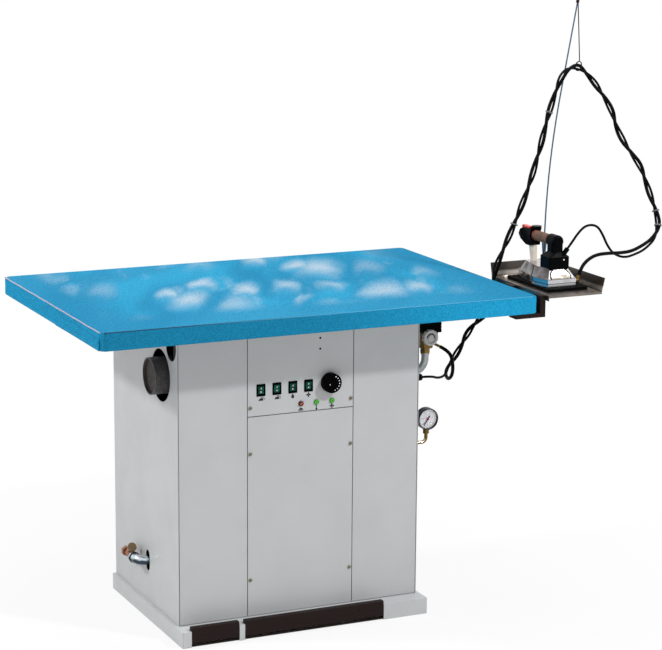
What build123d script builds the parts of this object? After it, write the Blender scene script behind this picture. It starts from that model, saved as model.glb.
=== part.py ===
from build123d import *
import os
from math import atan2, cos, pi, radians, sin, sqrt, tan

# A vacuum ironing table with a built-in boiler, a suction fan, a padded top
# and a steam iron on a rest. Millimetres, X to the right, Y to the back, Z up.
# The origin is on the floor, under the middle of the cabinet.

# Cabinet
CABINET_WIDTH = 720
CABINET_DEPTH = 510
SHEET = 1.5
PAN_DEPTH = 10
SEAM = 2.5
CORNER_GAP = 2
POST = 20
TUBE_WALL = 2
COLUMN_WIDTH = 316
MULLION_WIDTH = 30
SERVICE_TOP = 609.7
FLANGE = 15
LOUVRE_ROWS = 8
LOUVRE_X = 190
LOUVRE_Z = 560
LOUVRE_PITCH = 24
LOUVRE_LENGTH = 150
LOUVRE_SLOT = 6
LOUVRE_RISE = 4.5
MAINS_X = 280
MAINS_Z = 110
WATER_X = 220
WATER_RADIUS = 10

# Plinth and pedals
PLINTH_HEIGHT = 45
PLINTH_SIDE = 10
PLINTH_FRONT = 55
PLINTH_BACK = 5
PLINTH_SHEET = 2
PLINTH_CORNER = 4
PEDAL_LEFT_START = -343
PEDAL_LEFT_LENGTH = 138
PEDAL_RIGHT_START = -187
PEDAL_RIGHT_LENGTH = 419
PEDAL_RISE = 10
PEDAL_TRAVEL = 10
PEDAL_SHEET = 3
PEDAL_FLANGE = 18
PEDAL_ARM = 4
PEDAL_ARM_INSET = 18
PEDAL_ARM_DEPTH = 14
PEDAL_SCREW_RADIUS = 4
SHAFT_RADIUS = 6
SHAFT_BACK = 140
SHAFT_HEIGHT = 24
SILL_HEIGHT = 6
SLOT_PLAY = 1
PEDAL_EDGE = 2
PEDAL_LIP = 9
PEDAL_EYE = 4
PEDAL_SCREW_INSET = 71
PEDAL_SCREW_DROP = 7
HANGER_SHEET = 3
HANGER_HALF = 12
HANGER_REACH = 6
SILL_GAP = 4
SILL_SHEET = 3

# Tabletop
TABLE_LENGTH = 1280
TABLE_DEPTH = 850
TABLE_RIGHT = 658
TABLE_FRONT = -397
TABLE_HEIGHT = 910
TABLE_THICKNESS = 50
TABLE_CORNER = 20
TABLE_EDGE = 9
CLOTH = 1.6
CLOTH_HEM = 32
CLOTH_GAP = 0.4
FOAM_THICKNESS = 11
PLATE_THICKNESS = 1.5
SLOT_ROWS = 6
SLOT_COLUMNS = 12
SLOT_LENGTH = 60
SLOT_WIDTH = 8
SLOT_MARGIN = 160
STIFFENER_XS = (-320, 280)
STIFFENER_SHEET = 2
STIFFENER_DROP = 12
STIFFENER_TAB = (15, 60)
TRAY_INSET = 3
TRAY_CUT = 14

# Control panel
PANEL_BAND = 683
SWITCH_FIRST = -118.5
SWITCH_PITCH = 47
SWITCH_COUNT = 4
SWITCH_FRAME = (26, 34)
SWITCH_BODY = (21.4, 29.4)
SWITCH_DEPTH = 24
ROCKER_WIDTH = 16.4
ROCKER_RADIUS = 11.8
ROCKER_TILT = 8
DIAL_X = 86
DIAL_Z = 687
DIAL_RADIUS = 27.5
DIAL_LENGTH = 20
DIAL_SHAFT = 3
LAMP_XS = (0, 46.5, 93)
LAMP_Z = 634.5
LAMP_RADIUS = 7.75
LAMP_BODY = 5.7
SMALL_HOLE_X = 57
SMALL_HOLE_RADIUS = 2
SMALL_HOLE_ZS = (783, 813)
SCREW_X = 150
SCREW_HEAD = 5
SCREW_SHANK = 2.5
SCREW_RISE = 3.5
LAMP_RISE = 4.5
LAMP_DEPTH = 22
THERMOSTAT_HALF = 18
THERMOSTAT_DEPTH = 34
DIAL_SHAFT_LENGTH = 20
ROCKER_FACE = (7.6, 5.4)
ROCKER_SETBACK = 5
BEZEL_RISE = 2
PANEL_SCREW_Z = 635.5
SERVICE_SCREW_ZS = (149.5, 507)

# Suction fan
FAN_X = -120
FAN_Y = -10
FAN_HEIGHT = 100
FAN_SHEET = 2
DUCT_RADIUS = 64
IMPELLER_RADIUS = 86
BLADES = 10
MOTOR_RADIUS = 70
MOTOR_LENGTH = 130
MOTOR_SHAFT = 7
MOTOR_FLANGE = (20, 6)
MOTOR_CHAMFER = 8
TERMINAL_BOX = (30, 28, 30, 100)
SCROLL_MOUTH = 160
SCROLL_FIRST = 108
SCROLL_SECOND = 128
SCROLL_THIRD = 150
WHEEL_LIFT = 16
WHEEL_DEPTH = 62
WHEEL_SHEET = 2
WHEEL_BORE = 58
HUB_RADIUS = 20
HUB_LENGTH = 34
HUB_DROP = 8
BLADE_INNER = 52
BLADE_SWEEP = 35
BLADE_ARC = 70
SHAFT_DROP = 30
DUCT_FLANGE = (20, 3)
SILENCER = (6, 12)
EXHAUST_Y = -129
EXHAUST_Z = 720
EXHAUST_RADIUS = 51
EXHAUST_WALL = 3.5
EXHAUST_REACH = 33
EXHAUST_HOLE = 72.5
VENT_HOLE = 38
VENT_Y = -210
VENT_Z = 813

# Boiler, drain and steam outlet
BOILER_X = 150
BOILER_Y = -14
BOILER_RADIUS = 110
BOILER_BOTTOM = 190
BOILER_HEIGHT = 370
BOILER_SHOULDER = 45
OUTLET_BOSS = 16
DRAIN_BOSS = 18
BOSS_RISE = 12
BOSS_ROOT = 5
SAFETY_SHIFT = 52
SAFETY_BOSS = 12
SAFETY_ROOT = 15
SAFETY_HEIGHTS = (12, 30, 8)
SAFETY_OUTLET = 22
GAUGE_BOSS = 9
GAUGE_BOSS_RISE = 15
LEG_RADIUS = 8
LEG_FOOT = (20, 4)
ELEMENT_RISE = 90
ELEMENT_RADIUS = 42
ELEMENT_FLANGE = 10
ELEMENT_CIRCLE = 33
ELEMENT_BOLTS = 6
ELEMENT_BOLT = (13, 7)
TANK_X = (-330, -60)
TANK_Y = (75, 232)
TANK_HEIGHT = 330
TANK_CORNER = 12
FILLER_INSET = 60
FILLER_NECK = (28, 14)
FILLER_CAP = (34, 10)
TANK_OUTLET = (9, 18)
PUMP_START = (-300, -120)
PUMP_RISE = 62
PUMP_RADIUS = 45
PUMP_LENGTH = 120
PUMP_HEAD = (28, 40)
PUMP_FOOT = (46, 36, 6)
PUMP_WEB = (30, 20)
DRAIN_Z = 164
DRAIN_RADIUS = 13.5
DRAIN_BEND = 27
DRAIN_RUN = 15
DRAIN_SLOT = (60, 29)
WHEEL_RADIUS = 13
WHEEL_TILT = 35
DRAIN_LINE = (8, 18)
ELBOW_START = 30
ELBOW_BEAD = (2.5, 6)
STEM_FOOT = 48
VALVE_LENGTH = 67
VALVE_INLET = (20, 7)
VALVE_OUTLET = (25, 14)
DRAIN_BORE = 7
OUTLET_DEPTH = 10
BONNET_NUT = (19, 7)
BONNET = 39
WHEEL_STEM = 3
WHEEL_THICKNESS = 7
WHEEL_FLUTE = 2.2
WHEEL_FLUTES = 8
STEAM_Y = -185
STEAM_Z = 672
STEAM_X = 414
PIPE_RADIUS = 10.6
PIPE_BEND = 40
PIPE_HOLE = 13
VALVE_BASE = 727
PIPE_WALL = 2.6
PIPE_CORNER = 60
PIPE_COLLAR = (2, 5)
VALVE_NUT = (26, 14)
BODY_HEIGHT = 46
BODY_HALF = 18
BODY_CHAMFER = 6
KNOB_NECK = (9, 6)
KNOB_SHAFT_LENGTH = 18
KNOB_Z = 776
KNOB_RADIUS = 23
KNOB_SHAFT = 3
KNOB_THICKNESS = 13
KNOB_GROOVES = 12
KNOB_GROOVE = 3
KNOB_DISH = (16, 3)
KNOB_HUB = 8
BARB_LENGTH = 24
BARB_RADIUS = 4.4
BARB_CORE = 3.4
BARB_BALL = 7.5
BARB_RINGS = 3
BARB_PITCH = 5
COIL_X = (-18, 41)
COIL_HALF = 24
COIL_CORNER = 5
COIL_GAP = 14
COIL_RIBS = 5
COIL_PITCH = 9
COIL_GROOVE = 3
PLUG_X = (20, 33)
PLUG_HALF = 13
PLUG_Z = 763
GLAND_Y = -225
GLAND_Z = 667
GLAND_THREAD = 8
GLAND_LENGTH = 24
GLAND_NUT = (22, 6)
GLAND_CAP = 9.5
GAUGE_X = 421
GAUGE_Z = 535
GAUGE_RADIUS = 31.5
GAUGE_PIPE_Z = 466
GAUGE_PIPE = 5
GAUGE_DEPTH = 28
GAUGE_BEZEL = 3
GAUGE_RECESS = 7
GAUGE_LEAD = 15
GLASS = (0.8, 1.2)
NEEDLE_PIN = 1
NEEDLE_HUB = 3
NEEDLE_TAIL = 8
NEEDLE_TIP = 21
NEEDLE_SEAT = 4
NEEDLE_REST = 145
GAUGE_NUT = (17, 12)
SIDE_NUT = (19, 8)

# Iron rest
REST_LEFT = 679.5
REST_WIDTH = 171
REST_FRONT = -412
REST_LENGTH = 329
REST_SHEET = 1.5
REST_LIP = 38
REST_LEAN = 9
REST_FLANGE = 15
MAT_X = (704, 833)
MAT_Y = (-365, -127)
MAT_THICKNESS = 8
BRACKET_YS = (-395, -230)
BRACKET_WIDTH = 40
BRACKET_INNER = 587
BRACKET_ARM = 12
BRACKET_TUBE = 16
BRACKET_PAD_INSET = 16
REST_FRONT_EDGE = 7
MAT_CORNER = 5
MAT_GROOVES = 4
MAT_GROOVE = (4, 2.5)
MAT_MARGIN = 14

# Iron, laid with its heel to the front
IRON_X = 760
IRON_Y = -345
IRON_LENGTH = 208
SOLE_THICKNESS = 9
SKIRT_HEIGHT = 13
COVER_HEIGHT = 28
GRIP_RADIUS = 14.5
GRIP_HEIGHT = 124
TOWER_WIDTH = 64
TOWER_BACK = 15
TOWER_LENGTH = 58
NECK_RADIUS = 18
TOWER_RISE = 32
TOWER_SLOPE = 12
TOWER_NECK = (36, 42)
TOWER_CORNER = 6
NECK_HALF = 22
SOLE_HEEL = 45
SOLE_WIDEST = 55
SOLE_WAIST = 62
SOLE_TAPER = (0.74, 140)
COVER_FOOT = (2, 2, 2)
COVER_CROWN = (17, 22, 30)
COVER_GAP = (150, 3, 22)
HEEL_SLOT = (26, 7, 5, 2)
INLET_DEPTH = 36
INLET_RADIUS = 4.5
FERRULE = 14.5
INLET_BALL = 6.2
FERRULE_RADIUS = 5.4
FERRULE_NUT = (4, 12.5, 5)
CABLE_DEPTH = 14
CABLE_BOOT = 26
BOOT_RADIUS = 7
GRIP_LENGTH = 88
GRIP_BARREL = 2
HEAD_WIDTH = 34
HEAD_DROP = 30
HEAD_COLLAR = (19, 10)
DISC_RADIUS = 14
DISC_THICKNESS = 10
DISC_SHIFT = (5, 4)
BUTTON_SHIFT = -5
BUTTON_WIDTH = 15
BUTTON_LENGTH = 44
BUTTON_SEAT = 6
BUTTON_TRAVEL = 3
BUTTON_START = 16
BUTTON_TOP = 23
STRUT_PLACE = 14
STRUT_LEAN = 6
STRUT_FOOT = (14, 18)
STRUT_HEAD = (17, 22)

# Hose rod and cords
ROD_X = 843
ROD_Y = -98
ROD_TOP = 1722
ROD_RADIUS = 2.2
ROD_FREE = 980
ROD_BEND = 2500
ROD_ARC = 450
HOSE_RADIUS = 5
CABLE_RADIUS = 3.5
TWIST_OFFSET = 7.2
TIE_WIDTH = 4
TIE_PLAY = 0.15
TIE_WALL = 1.2
TIE_PLACES = (2, 3, 18, 25)
SOCKET_TUBE = 45
SOCKET_CONE = 45
SOCKET_RADIUS = 4.5
SOCKET_MOUTH = 7.5
SOCKET_FOOT = (14, 12, 4)
HOOK_TOP = 1690
HOOK_PLACE = 14
HOOK_RADIUS = 1.5
EYE_RADIUS = 12.6
EYE_WALL = 2
EYE_WIDTH = 3
CLIP_WALL = 2.5
CLIP_LENGTH = 9

CLEAR = 0.3
FIT = 0.05

# Derived planes
TABLE_SHIFT_X = TABLE_RIGHT - TABLE_LENGTH / 2
TABLE_SHIFT_Y = TABLE_FRONT + TABLE_DEPTH / 2
PLINTH_TOP = PLINTH_HEIGHT
TABLE_UNDER = TABLE_HEIGHT - TABLE_THICKNESS
PLENUM_UNDER = TABLE_UNDER + CLOTH
PANEL_TOP = TABLE_UNDER - 3
LEFT = -CABINET_WIDTH / 2
RIGHT = CABINET_WIDTH / 2
FRONT = -CABINET_DEPTH / 2
BACK = CABINET_DEPTH / 2
PLINTH_FACE = FRONT - PLINTH_FRONT
SEAT = FRONT + PAN_DEPTH
COLUMN_EDGE = COLUMN_WIDTH / 2
REST_TOP = TABLE_HEIGHT
MAT_TOP = REST_TOP + MAT_THICKNESS
SHAFT_Y = PLINTH_FACE + SHAFT_BACK
BODY_BASE = VALVE_BASE + VALVE_NUT[1]
BODY_TOP = BODY_BASE + BODY_HEIGHT
PAD_INSET = CLOTH + CLOTH_GAP
FOAM_TOP = TABLE_HEIGHT - CLOTH - CLOTH_GAP
PLATE_TOP = FOAM_TOP - FOAM_THICKNESS
PLATE_UNDER = PLATE_TOP - PLATE_THICKNESS
SOLE_TOP = MAT_TOP + SOLE_THICKNESS
SKIRT_TOP = SOLE_TOP + SKIRT_HEIGHT
COVER_TOP = SKIRT_TOP + COVER_HEIGHT
TOWER_Y = IRON_Y + TOWER_BACK
TOWER_SHOULDER = COVER_TOP + TOWER_RISE
GRIP_Z = MAT_TOP + GRIP_HEIGHT
GRIP_START = TOWER_Y + TOWER_LENGTH / 2 + NECK_HALF
HEAD_START = GRIP_START + GRIP_LENGTH
HOLE_DEPTH = SHEET + 2
STANDING = (Align.CENTER, Align.CENTER, Align.MIN)

# The corners of the bundle, from the iron to the cabinet, and of each cord at its two ends
BUNDLE = [
    (1071, -275, 999), (1110, -266, 1021), (1132, -254, 1056), (1130, -239, 1097), (1121, -224, 1139),
    (1111, -210, 1181), (1100, -196, 1222), (1076, -184, 1259), (1054, -171, 1297), (1038, -157, 1337),
    (1031, -142, 1379), (1013, -129, 1418), (992, -116, 1454), (968, -106, 1486), (934, -109, 1510),
    (895, -114, 1506), (868, -117, 1473), (852, -118, 1428), (837, -118, 1382), (823, -117, 1336),
    (812, -116, 1289), (801, -114, 1243), (788, -113, 1197), (771, -112, 1152), (753, -111, 1107),
    (735, -110, 1062), (715, -110, 1018), (692, -111, 976), (673, -113, 934), (667.5, -114, 893),
    (673, -118, 848), (646, -127, 815), (614, -134, 799), (588, -140, 779), (567, -144, 754),
    (549, -146, 727), (531, -147, 700),
]
HOSE_START = [
    (819, -335.5, 945.5), (828, -333, 966), (852, -325, 985), (886, -315, 996),
    (930, -305, 996), (976, -295, 992), (1023, -285, 992),
]
HOSE_END = [
    (511, -144, 673), (494, -156, 651.5), (487.5, -189, 641.5), (484, -221.5, 664), (482, -226, 700),
    (480.5, -207.5, 729), (459, -189, 741),
]
CABLE_START = [
    (781, -321.5, 1012.5), (801, -320, 1035), (826, -316, 1064), (854, -311, 1083), (893, -304, 1079),
    (919, -294, 1050), (942, -285, 1013), (968, -280, 986), (1006, -277, 973), (1044, -275, 981),
]
CABLE_END = [
    (507, -158, 680), (486, -174, 652), (448, -203, 653), (414, -225, 667), (378, -225, 667),
]


def block(x0, x1, y0, y1, z0, z1):
    """A box between two corners."""
    box = Box(x1 - x0, y1 - y0, z1 - z0)
    return Pos((x0 + x1) / 2, (y0 + y1) / 2, (z0 + z1) / 2) * box


def bar(point, direction, radius, length):
    """A cylinder that starts at a point and runs along a direction."""
    base = Plane(origin=point, z_dir=direction)
    return base * Cylinder(radius, length, align=STANDING)


def pipe(points, radii, radius, bore=0):
    """A round tube along straight runs joined by arcs of the given radii."""
    path = FilletPolyline(*points, radius=radii)
    start = Plane(origin=path @ 0, z_dir=path % 0)
    section = start * Circle(radius)
    if bore:
        section -= start * Circle(bore)
    return sweep(section, path)


def hexagon(point, direction, across, length):
    """A hexagonal nut blank along a direction."""
    base = Plane(origin=point, z_dir=direction)
    return extrude(base * RegularPolygon(across / 2, 6, major_radius=False), length)


def save(name, shape):
    """Write one named piece."""
    shape.label = name
    export_step(shape, "parts/" + name + ".step")


def welded(*pieces):
    """Pieces that touch and stay separate solids of one sub-part."""
    return Compound([piece.solid() for piece in pieces])


def turned(shape, point, axis, angle):
    """A shape turned about an axis through a point."""
    return shape.rotate(Axis(point, axis), angle)


# Plinth

def pedal_spans():
    """The two pedals' start and end along X."""
    left = (PEDAL_LEFT_START, PEDAL_LEFT_START + PEDAL_LEFT_LENGTH)
    right = (PEDAL_RIGHT_START, PEDAL_RIGHT_START + PEDAL_RIGHT_LENGTH)
    return left, right


def plinth_base():
    """A folded sheet base, open below, with a front notch for each pedal."""
    x0 = LEFT - PLINTH_SIDE
    x1 = RIGHT + PLINTH_SIDE
    y1 = BACK + PLINTH_BACK
    outer = block(x0, x1, PLINTH_FACE, y1, 0, PLINTH_HEIGHT)
    outer = fillet(outer.edges().filter_by(Axis.Z), PLINTH_CORNER)
    wall = PLINTH_SHEET
    inner = block(x0 + wall, x1 - wall, PLINTH_FACE + wall, y1 - wall, -1, PLINTH_HEIGHT - wall)
    inner = fillet(inner.edges().filter_by(Axis.Z), PLINTH_CORNER - wall)
    base = outer - inner
    notch = PEDAL_FLANGE + 2 * SLOT_PLAY
    for start, end in pedal_spans():
        base -= block(
            start - SLOT_PLAY, end + SLOT_PLAY,
            PLINTH_FACE - 1, PLINTH_FACE + notch, -1, PLINTH_HEIGHT + 1,
        )
    return base


def pedal(start, end):
    """A pressed foot bar on two arms that turn on the pedal shaft."""
    top = PLINTH_TOP + PEDAL_RISE
    low = PEDAL_TRAVEL + 2
    y0 = PLINTH_FACE
    rear = y0 + PEDAL_FLANGE
    shape = block(start, end, y0, y0 + PEDAL_SHEET, low, top)
    shape += block(start, end, y0, rear, top - PEDAL_SHEET, top)
    shape += block(start, end, rear - PEDAL_SHEET, rear, top - PEDAL_LIP, top)
    for side in (start, end - PEDAL_SHEET):
        shape += block(side, side + PEDAL_SHEET, y0, rear, top - PEDAL_LIP, top)
    shape = fillet(shape.edges().filter_by(Axis.X).group_by(Axis.Z)[-1].sort_by(Axis.Y)[0], PEDAL_EDGE)
    half = PEDAL_ARM_DEPTH / 2
    for x in (start + PEDAL_ARM_INSET, end - PEDAL_ARM_INSET - PEDAL_ARM):
        shape += block(
            x, x + PEDAL_ARM, y0 + PEDAL_SHEET / 2, SHAFT_Y, SHAFT_HEIGHT - half / 2, SHAFT_HEIGHT + half,
        )
        shape += bar((x, SHAFT_Y, SHAFT_HEIGHT), (1, 0, 0), SHAFT_RADIUS + PEDAL_EYE, PEDAL_ARM)
        shape -= bar((x - 1, SHAFT_Y, SHAFT_HEIGHT), (1, 0, 0), SHAFT_RADIUS + FIT, PEDAL_ARM + 2)
    return shape


def pedal_right():
    """The long suction pedal with its round-headed screw."""
    start, end = pedal_spans()[1]
    place = (end - PEDAL_SCREW_INSET, PLINTH_FACE, PLINTH_TOP - PEDAL_SCREW_DROP)
    head = bar(place, (0, -1, 0), PEDAL_SCREW_RADIUS, 2)
    return pedal(start, end) + fillet(head.edges().group_by(Axis.Y)[0], 1.2)


def pedal_frame():
    """The fixed pedal shaft in its hangers, and the black sill behind the pedals."""
    left, right = pedal_spans()
    x0 = left[0] - HANGER_REACH
    x1 = right[1] + HANGER_REACH
    frame = bar((x0, SHAFT_Y, SHAFT_HEIGHT), (1, 0, 0), SHAFT_RADIUS, x1 - x0)
    between = (left[1] + right[0]) / 2
    middle = (right[0] + right[1]) / 2
    half = HANGER_SHEET / 2
    for x in (x0, between, middle, x1):
        frame += block(
            x - half, x + half, SHAFT_Y - HANGER_HALF, SHAFT_Y + HANGER_HALF,
            SHAFT_HEIGHT - SHAFT_RADIUS - PEDAL_EYE, PLINTH_HEIGHT - PLINTH_SHEET,
        )
    y = PLINTH_FACE + PEDAL_SHEET + SILL_GAP
    frame += block(x0 - 4, x1 + 4, y, y + SILL_SHEET, 0, SILL_HEIGHT)
    for x in (x0, between, x1):
        frame += block(x - 4, x + 4, PLINTH_FACE + PLINTH_SHEET, y, 0, SILL_HEIGHT)
    return frame


# Cabinet

def post(x, y, width, depth):
    """A square-tube post from the plinth to the top ring."""
    outer = block(x - width / 2, x + width / 2, y - depth / 2, y + depth / 2, PLINTH_TOP, PLENUM_UNDER)
    inner = block(
        x - width / 2 + TUBE_WALL, x + width / 2 - TUBE_WALL,
        y - depth / 2 + TUBE_WALL, y + depth / 2 - TUBE_WALL, PLINTH_TOP - 1, PLENUM_UNDER - POST,
    )
    return outer - inner


def inner_frame():
    """Corner posts, two mullions front and back, and the top ring under the table."""
    x = RIGHT - SHEET - POST / 2
    y = -SEAT - SHEET - POST / 2
    frame = Part()
    for sx in (-1, 1):
        for sy in (-1, 1):
            frame += post(sx * x, sy * y, POST, POST)
    mullion_y = SEAT + POST / 2
    for sx in (-1, 1):
        frame += post(sx * COLUMN_EDGE, mullion_y, MULLION_WIDTH, POST)
    z0 = PLENUM_UNDER - POST
    ring = block(-x - POST / 2, x + POST / 2, SEAT, -SEAT, z0, PLENUM_UNDER)
    inside = RIGHT - SHEET - POST
    depth = -SEAT - POST
    ring -= block(-inside, inside, -depth, depth, z0 - 1, PLENUM_UNDER + 1)
    frame += ring
    for sx in (-1, 1):
        for z in (PANEL_SCREW_Z, *SERVICE_SCREW_ZS):
            frame -= bar((sx * SCREW_X, SEAT - 1, z), (0, 1, 0), SCREW_SHANK + CLEAR, TUBE_WALL + 2)
    return frame - bar((RIGHT - POST / 2, GLAND_Y, GLAND_Z), (1, 0, 0), GLAND_THREAD + 1, POST)


def side_panel(side):
    """A side sheet with a return flange at its front and its back."""
    outer = side * CABINET_WIDTH / 2
    inner = outer - side * SHEET
    low, high = sorted((outer, inner))
    panel = block(low, high, FRONT, BACK, PLINTH_TOP, PANEL_TOP)
    low, high = sorted((inner, inner - side * FLANGE))
    top = PANEL_TOP - POST + 2
    panel += block(low, high, SEAT, SEAT + SHEET, PLINTH_TOP, top)
    panel += block(low, high, -SEAT - SHEET, -SEAT, PLINTH_TOP, top)
    return panel


def side_panel_left():
    """The left side, with the exhaust hole, the vent hole and the drain slot."""
    panel = side_panel(-1)
    start = LEFT - 1
    panel -= bar((start, EXHAUST_Y, EXHAUST_Z), (1, 0, 0), EXHAUST_HOLE, HOLE_DEPTH)
    panel -= bar((start, VENT_Y, VENT_Z), (1, 0, 0), VENT_HOLE, HOLE_DEPTH)
    slot = Plane(origin=(start, BOILER_Y, DRAIN_Z), z_dir=(1, 0, 0), x_dir=(0, 0, 1))
    return panel - extrude(slot * SlotOverall(*DRAIN_SLOT), HOLE_DEPTH)


def side_panel_right():
    """The right side, with the steam, cable and gauge entries."""
    panel = side_panel(1)
    start = RIGHT - SHEET - 1
    panel -= bar((start, STEAM_Y, STEAM_Z), (1, 0, 0), PIPE_HOLE, HOLE_DEPTH)
    panel -= bar((start, GLAND_Y, GLAND_Z), (1, 0, 0), GLAND_THREAD + CLEAR, HOLE_DEPTH)
    return panel - bar((start, STEAM_Y, GAUGE_PIPE_Z), (1, 0, 0), GAUGE_PIPE + 2, HOLE_DEPTH)


def pan(x0, x1, z0, z1, side=-1):
    """A folded front or back panel: a sheet with returns on all four edges."""
    face = side * CABINET_DEPTH / 2
    seat = face - side * PAN_DEPTH
    y0, y1 = sorted((face, seat))
    outer = block(x0, x1, y0, y1, z0, z1)
    i0, i1 = sorted((face - side * SHEET, seat - side))
    return outer - block(x0 + SHEET, x1 - SHEET, i0, i1, z0 + SHEET, z1 - SHEET)


def front_panel(side):
    """One of the plain fixed front panels."""
    inner = side * (COLUMN_EDGE + SEAM / 2)
    outer = side * (RIGHT - SHEET - CORNER_GAP)
    x0, x1 = sorted((inner, outer))
    return pan(x0, x1, PLINTH_TOP + 2, PANEL_TOP)


def panel_hole(x, z, radius):
    """A round hole through a front sheet."""
    return bar((x, FRONT - 1, z), (0, 1, 0), radius, HOLE_DEPTH)


def control_panel():
    """The switch panel with its cut-outs."""
    half = COLUMN_EDGE - SEAM / 2
    panel = pan(-half, half, SERVICE_TOP + SEAM, PANEL_TOP)
    width, height = SWITCH_BODY
    for x in switch_xs():
        panel -= block(
            x - width / 2 - CLEAR, x + width / 2 + CLEAR, FRONT - 1, FRONT + SHEET + 1,
            PANEL_BAND - height / 2 - CLEAR, PANEL_BAND + height / 2 + CLEAR,
        )
    panel -= panel_hole(DIAL_X, DIAL_Z, DIAL_SHAFT + 2)
    for x in LAMP_XS:
        panel -= panel_hole(x, LAMP_Z, LAMP_BODY + CLEAR)
    for z in SMALL_HOLE_ZS:
        panel -= panel_hole(SMALL_HOLE_X, z, SMALL_HOLE_RADIUS)
    for x in (-SCREW_X, SCREW_X):
        panel -= panel_hole(x, PANEL_SCREW_Z, SCREW_SHANK + CLEAR)
    return panel


def service_panel():
    """The screwed panel below the switches."""
    half = COLUMN_EDGE - SEAM / 2
    panel = pan(-half, half, PLINTH_TOP + 2, SERVICE_TOP)
    for x in (-SCREW_X, SCREW_X):
        for z in SERVICE_SCREW_ZS:
            panel -= panel_hole(x, z, SCREW_SHANK + CLEAR)
    return panel


def rear_panel():
    """The back panel with louvres, a mains gland hole and a water inlet hole."""
    half = RIGHT - SHEET - CORNER_GAP
    panel = pan(-half, half, PLINTH_TOP + 2, PANEL_TOP, side=1)
    for column in (-1, 1):
        x0 = column * LOUVRE_X - LOUVRE_LENGTH / 2
        for row in range(LOUVRE_ROWS):
            z = LOUVRE_Z + row * LOUVRE_PITCH
            panel -= block(x0, x0 + LOUVRE_LENGTH, BACK - SHEET - 1, BACK + 1, z, z + LOUVRE_SLOT)
            rise = BACK + LOUVRE_RISE
            outline = Polygon((BACK, z + 6), (rise, z + 1), (rise, z + 3), (BACK, z + 10), align=None)
            panel += extrude(Plane.YZ.offset(x0) * outline, LOUVRE_LENGTH)
    panel -= bar((MAINS_X, BACK - SHEET - 1, MAINS_Z), (0, 1, 0), GLAND_THREAD + CLEAR, HOLE_DEPTH)
    return panel - bar((WATER_X, BACK - SHEET - 1, MAINS_Z), (0, 1, 0), WATER_RADIUS, HOLE_DEPTH)


def panel_screws():
    """The six round-headed panel screws."""
    group = Part()
    for x in (-SCREW_X, SCREW_X):
        for z in (PANEL_SCREW_Z, *SERVICE_SCREW_ZS):
            head = bar((x, FRONT, z), (0, -1, 0), SCREW_HEAD, SCREW_RISE)
            head = fillet(head.edges().group_by(Axis.Y)[0], SCREW_RISE - 1.5)
            group += head + bar((x, FRONT, z), (0, 1, 0), SCREW_SHANK, PAN_DEPTH + 5)
    return group


# Controls

def switch_xs():
    """The switches' centres along X."""
    return [SWITCH_FIRST + n * SWITCH_PITCH for n in range(SWITCH_COUNT)]


def rocker_pivot():
    """The rockers' pivot, behind the panel face."""
    return FRONT + ROCKER_SETBACK


def switch_frames():
    """The rocker switches' bezels and bodies."""
    group = Part()
    width, height = SWITCH_FRAME
    body_width, body_height = SWITCH_BODY
    half = ROCKER_WIDTH / 2 + CLEAR
    reach = ROCKER_RADIUS + CLEAR
    for x in switch_xs():
        bezel = block(
            x - width / 2, x + width / 2, FRONT - BEZEL_RISE, FRONT,
            PANEL_BAND - height / 2, PANEL_BAND + height / 2,
        )
        bezel = fillet(bezel.edges().filter_by(Axis.Y), 2)
        bezel = chamfer(bezel.faces().sort_by(Axis.Y)[0].edges(), 0.8)
        body = block(
            x - body_width / 2, x + body_width / 2, FRONT, FRONT + SWITCH_DEPTH,
            PANEL_BAND - body_height / 2, PANEL_BAND + body_height / 2,
        )
        pocket = block(
            x - half, x + half, FRONT - BEZEL_RISE - 1, rocker_pivot() + reach,
            PANEL_BAND - reach, PANEL_BAND + reach,
        )
        group += bezel + body - pocket
    return group


def rocker(x):
    """A rocker with a shallow V face, resting on its lower side."""
    pivot = rocker_pivot()
    plane = Plane(origin=(x - ROCKER_WIDTH / 2, pivot, PANEL_BAND), x_dir=(0, 1, 0), z_dir=(1, 0, 0))
    reach = ROCKER_RADIUS + 1
    edge, middle = ROCKER_FACE
    far = -2 * edge
    front = Polygon((-edge, reach), (-middle, 0), (-edge, -reach), (far, -reach), (far, reach), align=None)
    shape = extrude(plane * (Circle(ROCKER_RADIUS) - front), ROCKER_WIDTH)
    return turned(shape, (x, pivot, PANEL_BAND), (1, 0, 0), ROCKER_TILT)


def dial_knob():
    """The round thermostat knob with its shaft."""
    start = (DIAL_X, FRONT - 1, DIAL_Z)
    knob = bar(start, (0, -1, 0), DIAL_RADIUS, DIAL_LENGTH)
    knob = fillet(knob.edges().group_by(Axis.Y)[0], 1.5)
    knob = chamfer(knob.edges().group_by(Axis.Y)[-1], 0.6)
    return knob + bar(start, (0, 1, 0), DIAL_SHAFT, DIAL_SHAFT_LENGTH)


def thermostat_body():
    """The capillary thermostat behind the panel, carrying the knob's shaft."""
    y0 = FRONT + SHEET
    half = THERMOSTAT_HALF
    body = block(DIAL_X - half, DIAL_X + half, y0, y0 + THERMOSTAT_DEPTH, DIAL_Z - half, DIAL_Z + half)
    body = fillet(body.edges().filter_by(Axis.Y), 4)
    return body - bar((DIAL_X, y0 - 1, DIAL_Z), (0, 1, 0), DIAL_SHAFT + FIT, DIAL_SHAFT_LENGTH + 2)


def pilot_lamps():
    """The three pilot lamps."""
    group = Part()
    for x in LAMP_XS:
        lens = bar((x, FRONT, LAMP_Z), (0, -1, 0), LAMP_RADIUS, LAMP_RISE)
        lens = fillet(lens.edges().group_by(Axis.Y)[0], LAMP_RISE - 1.5)
        group += lens + bar((x, FRONT, LAMP_Z), (0, 1, 0), LAMP_BODY, LAMP_DEPTH)
    return group


# Fan

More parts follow.
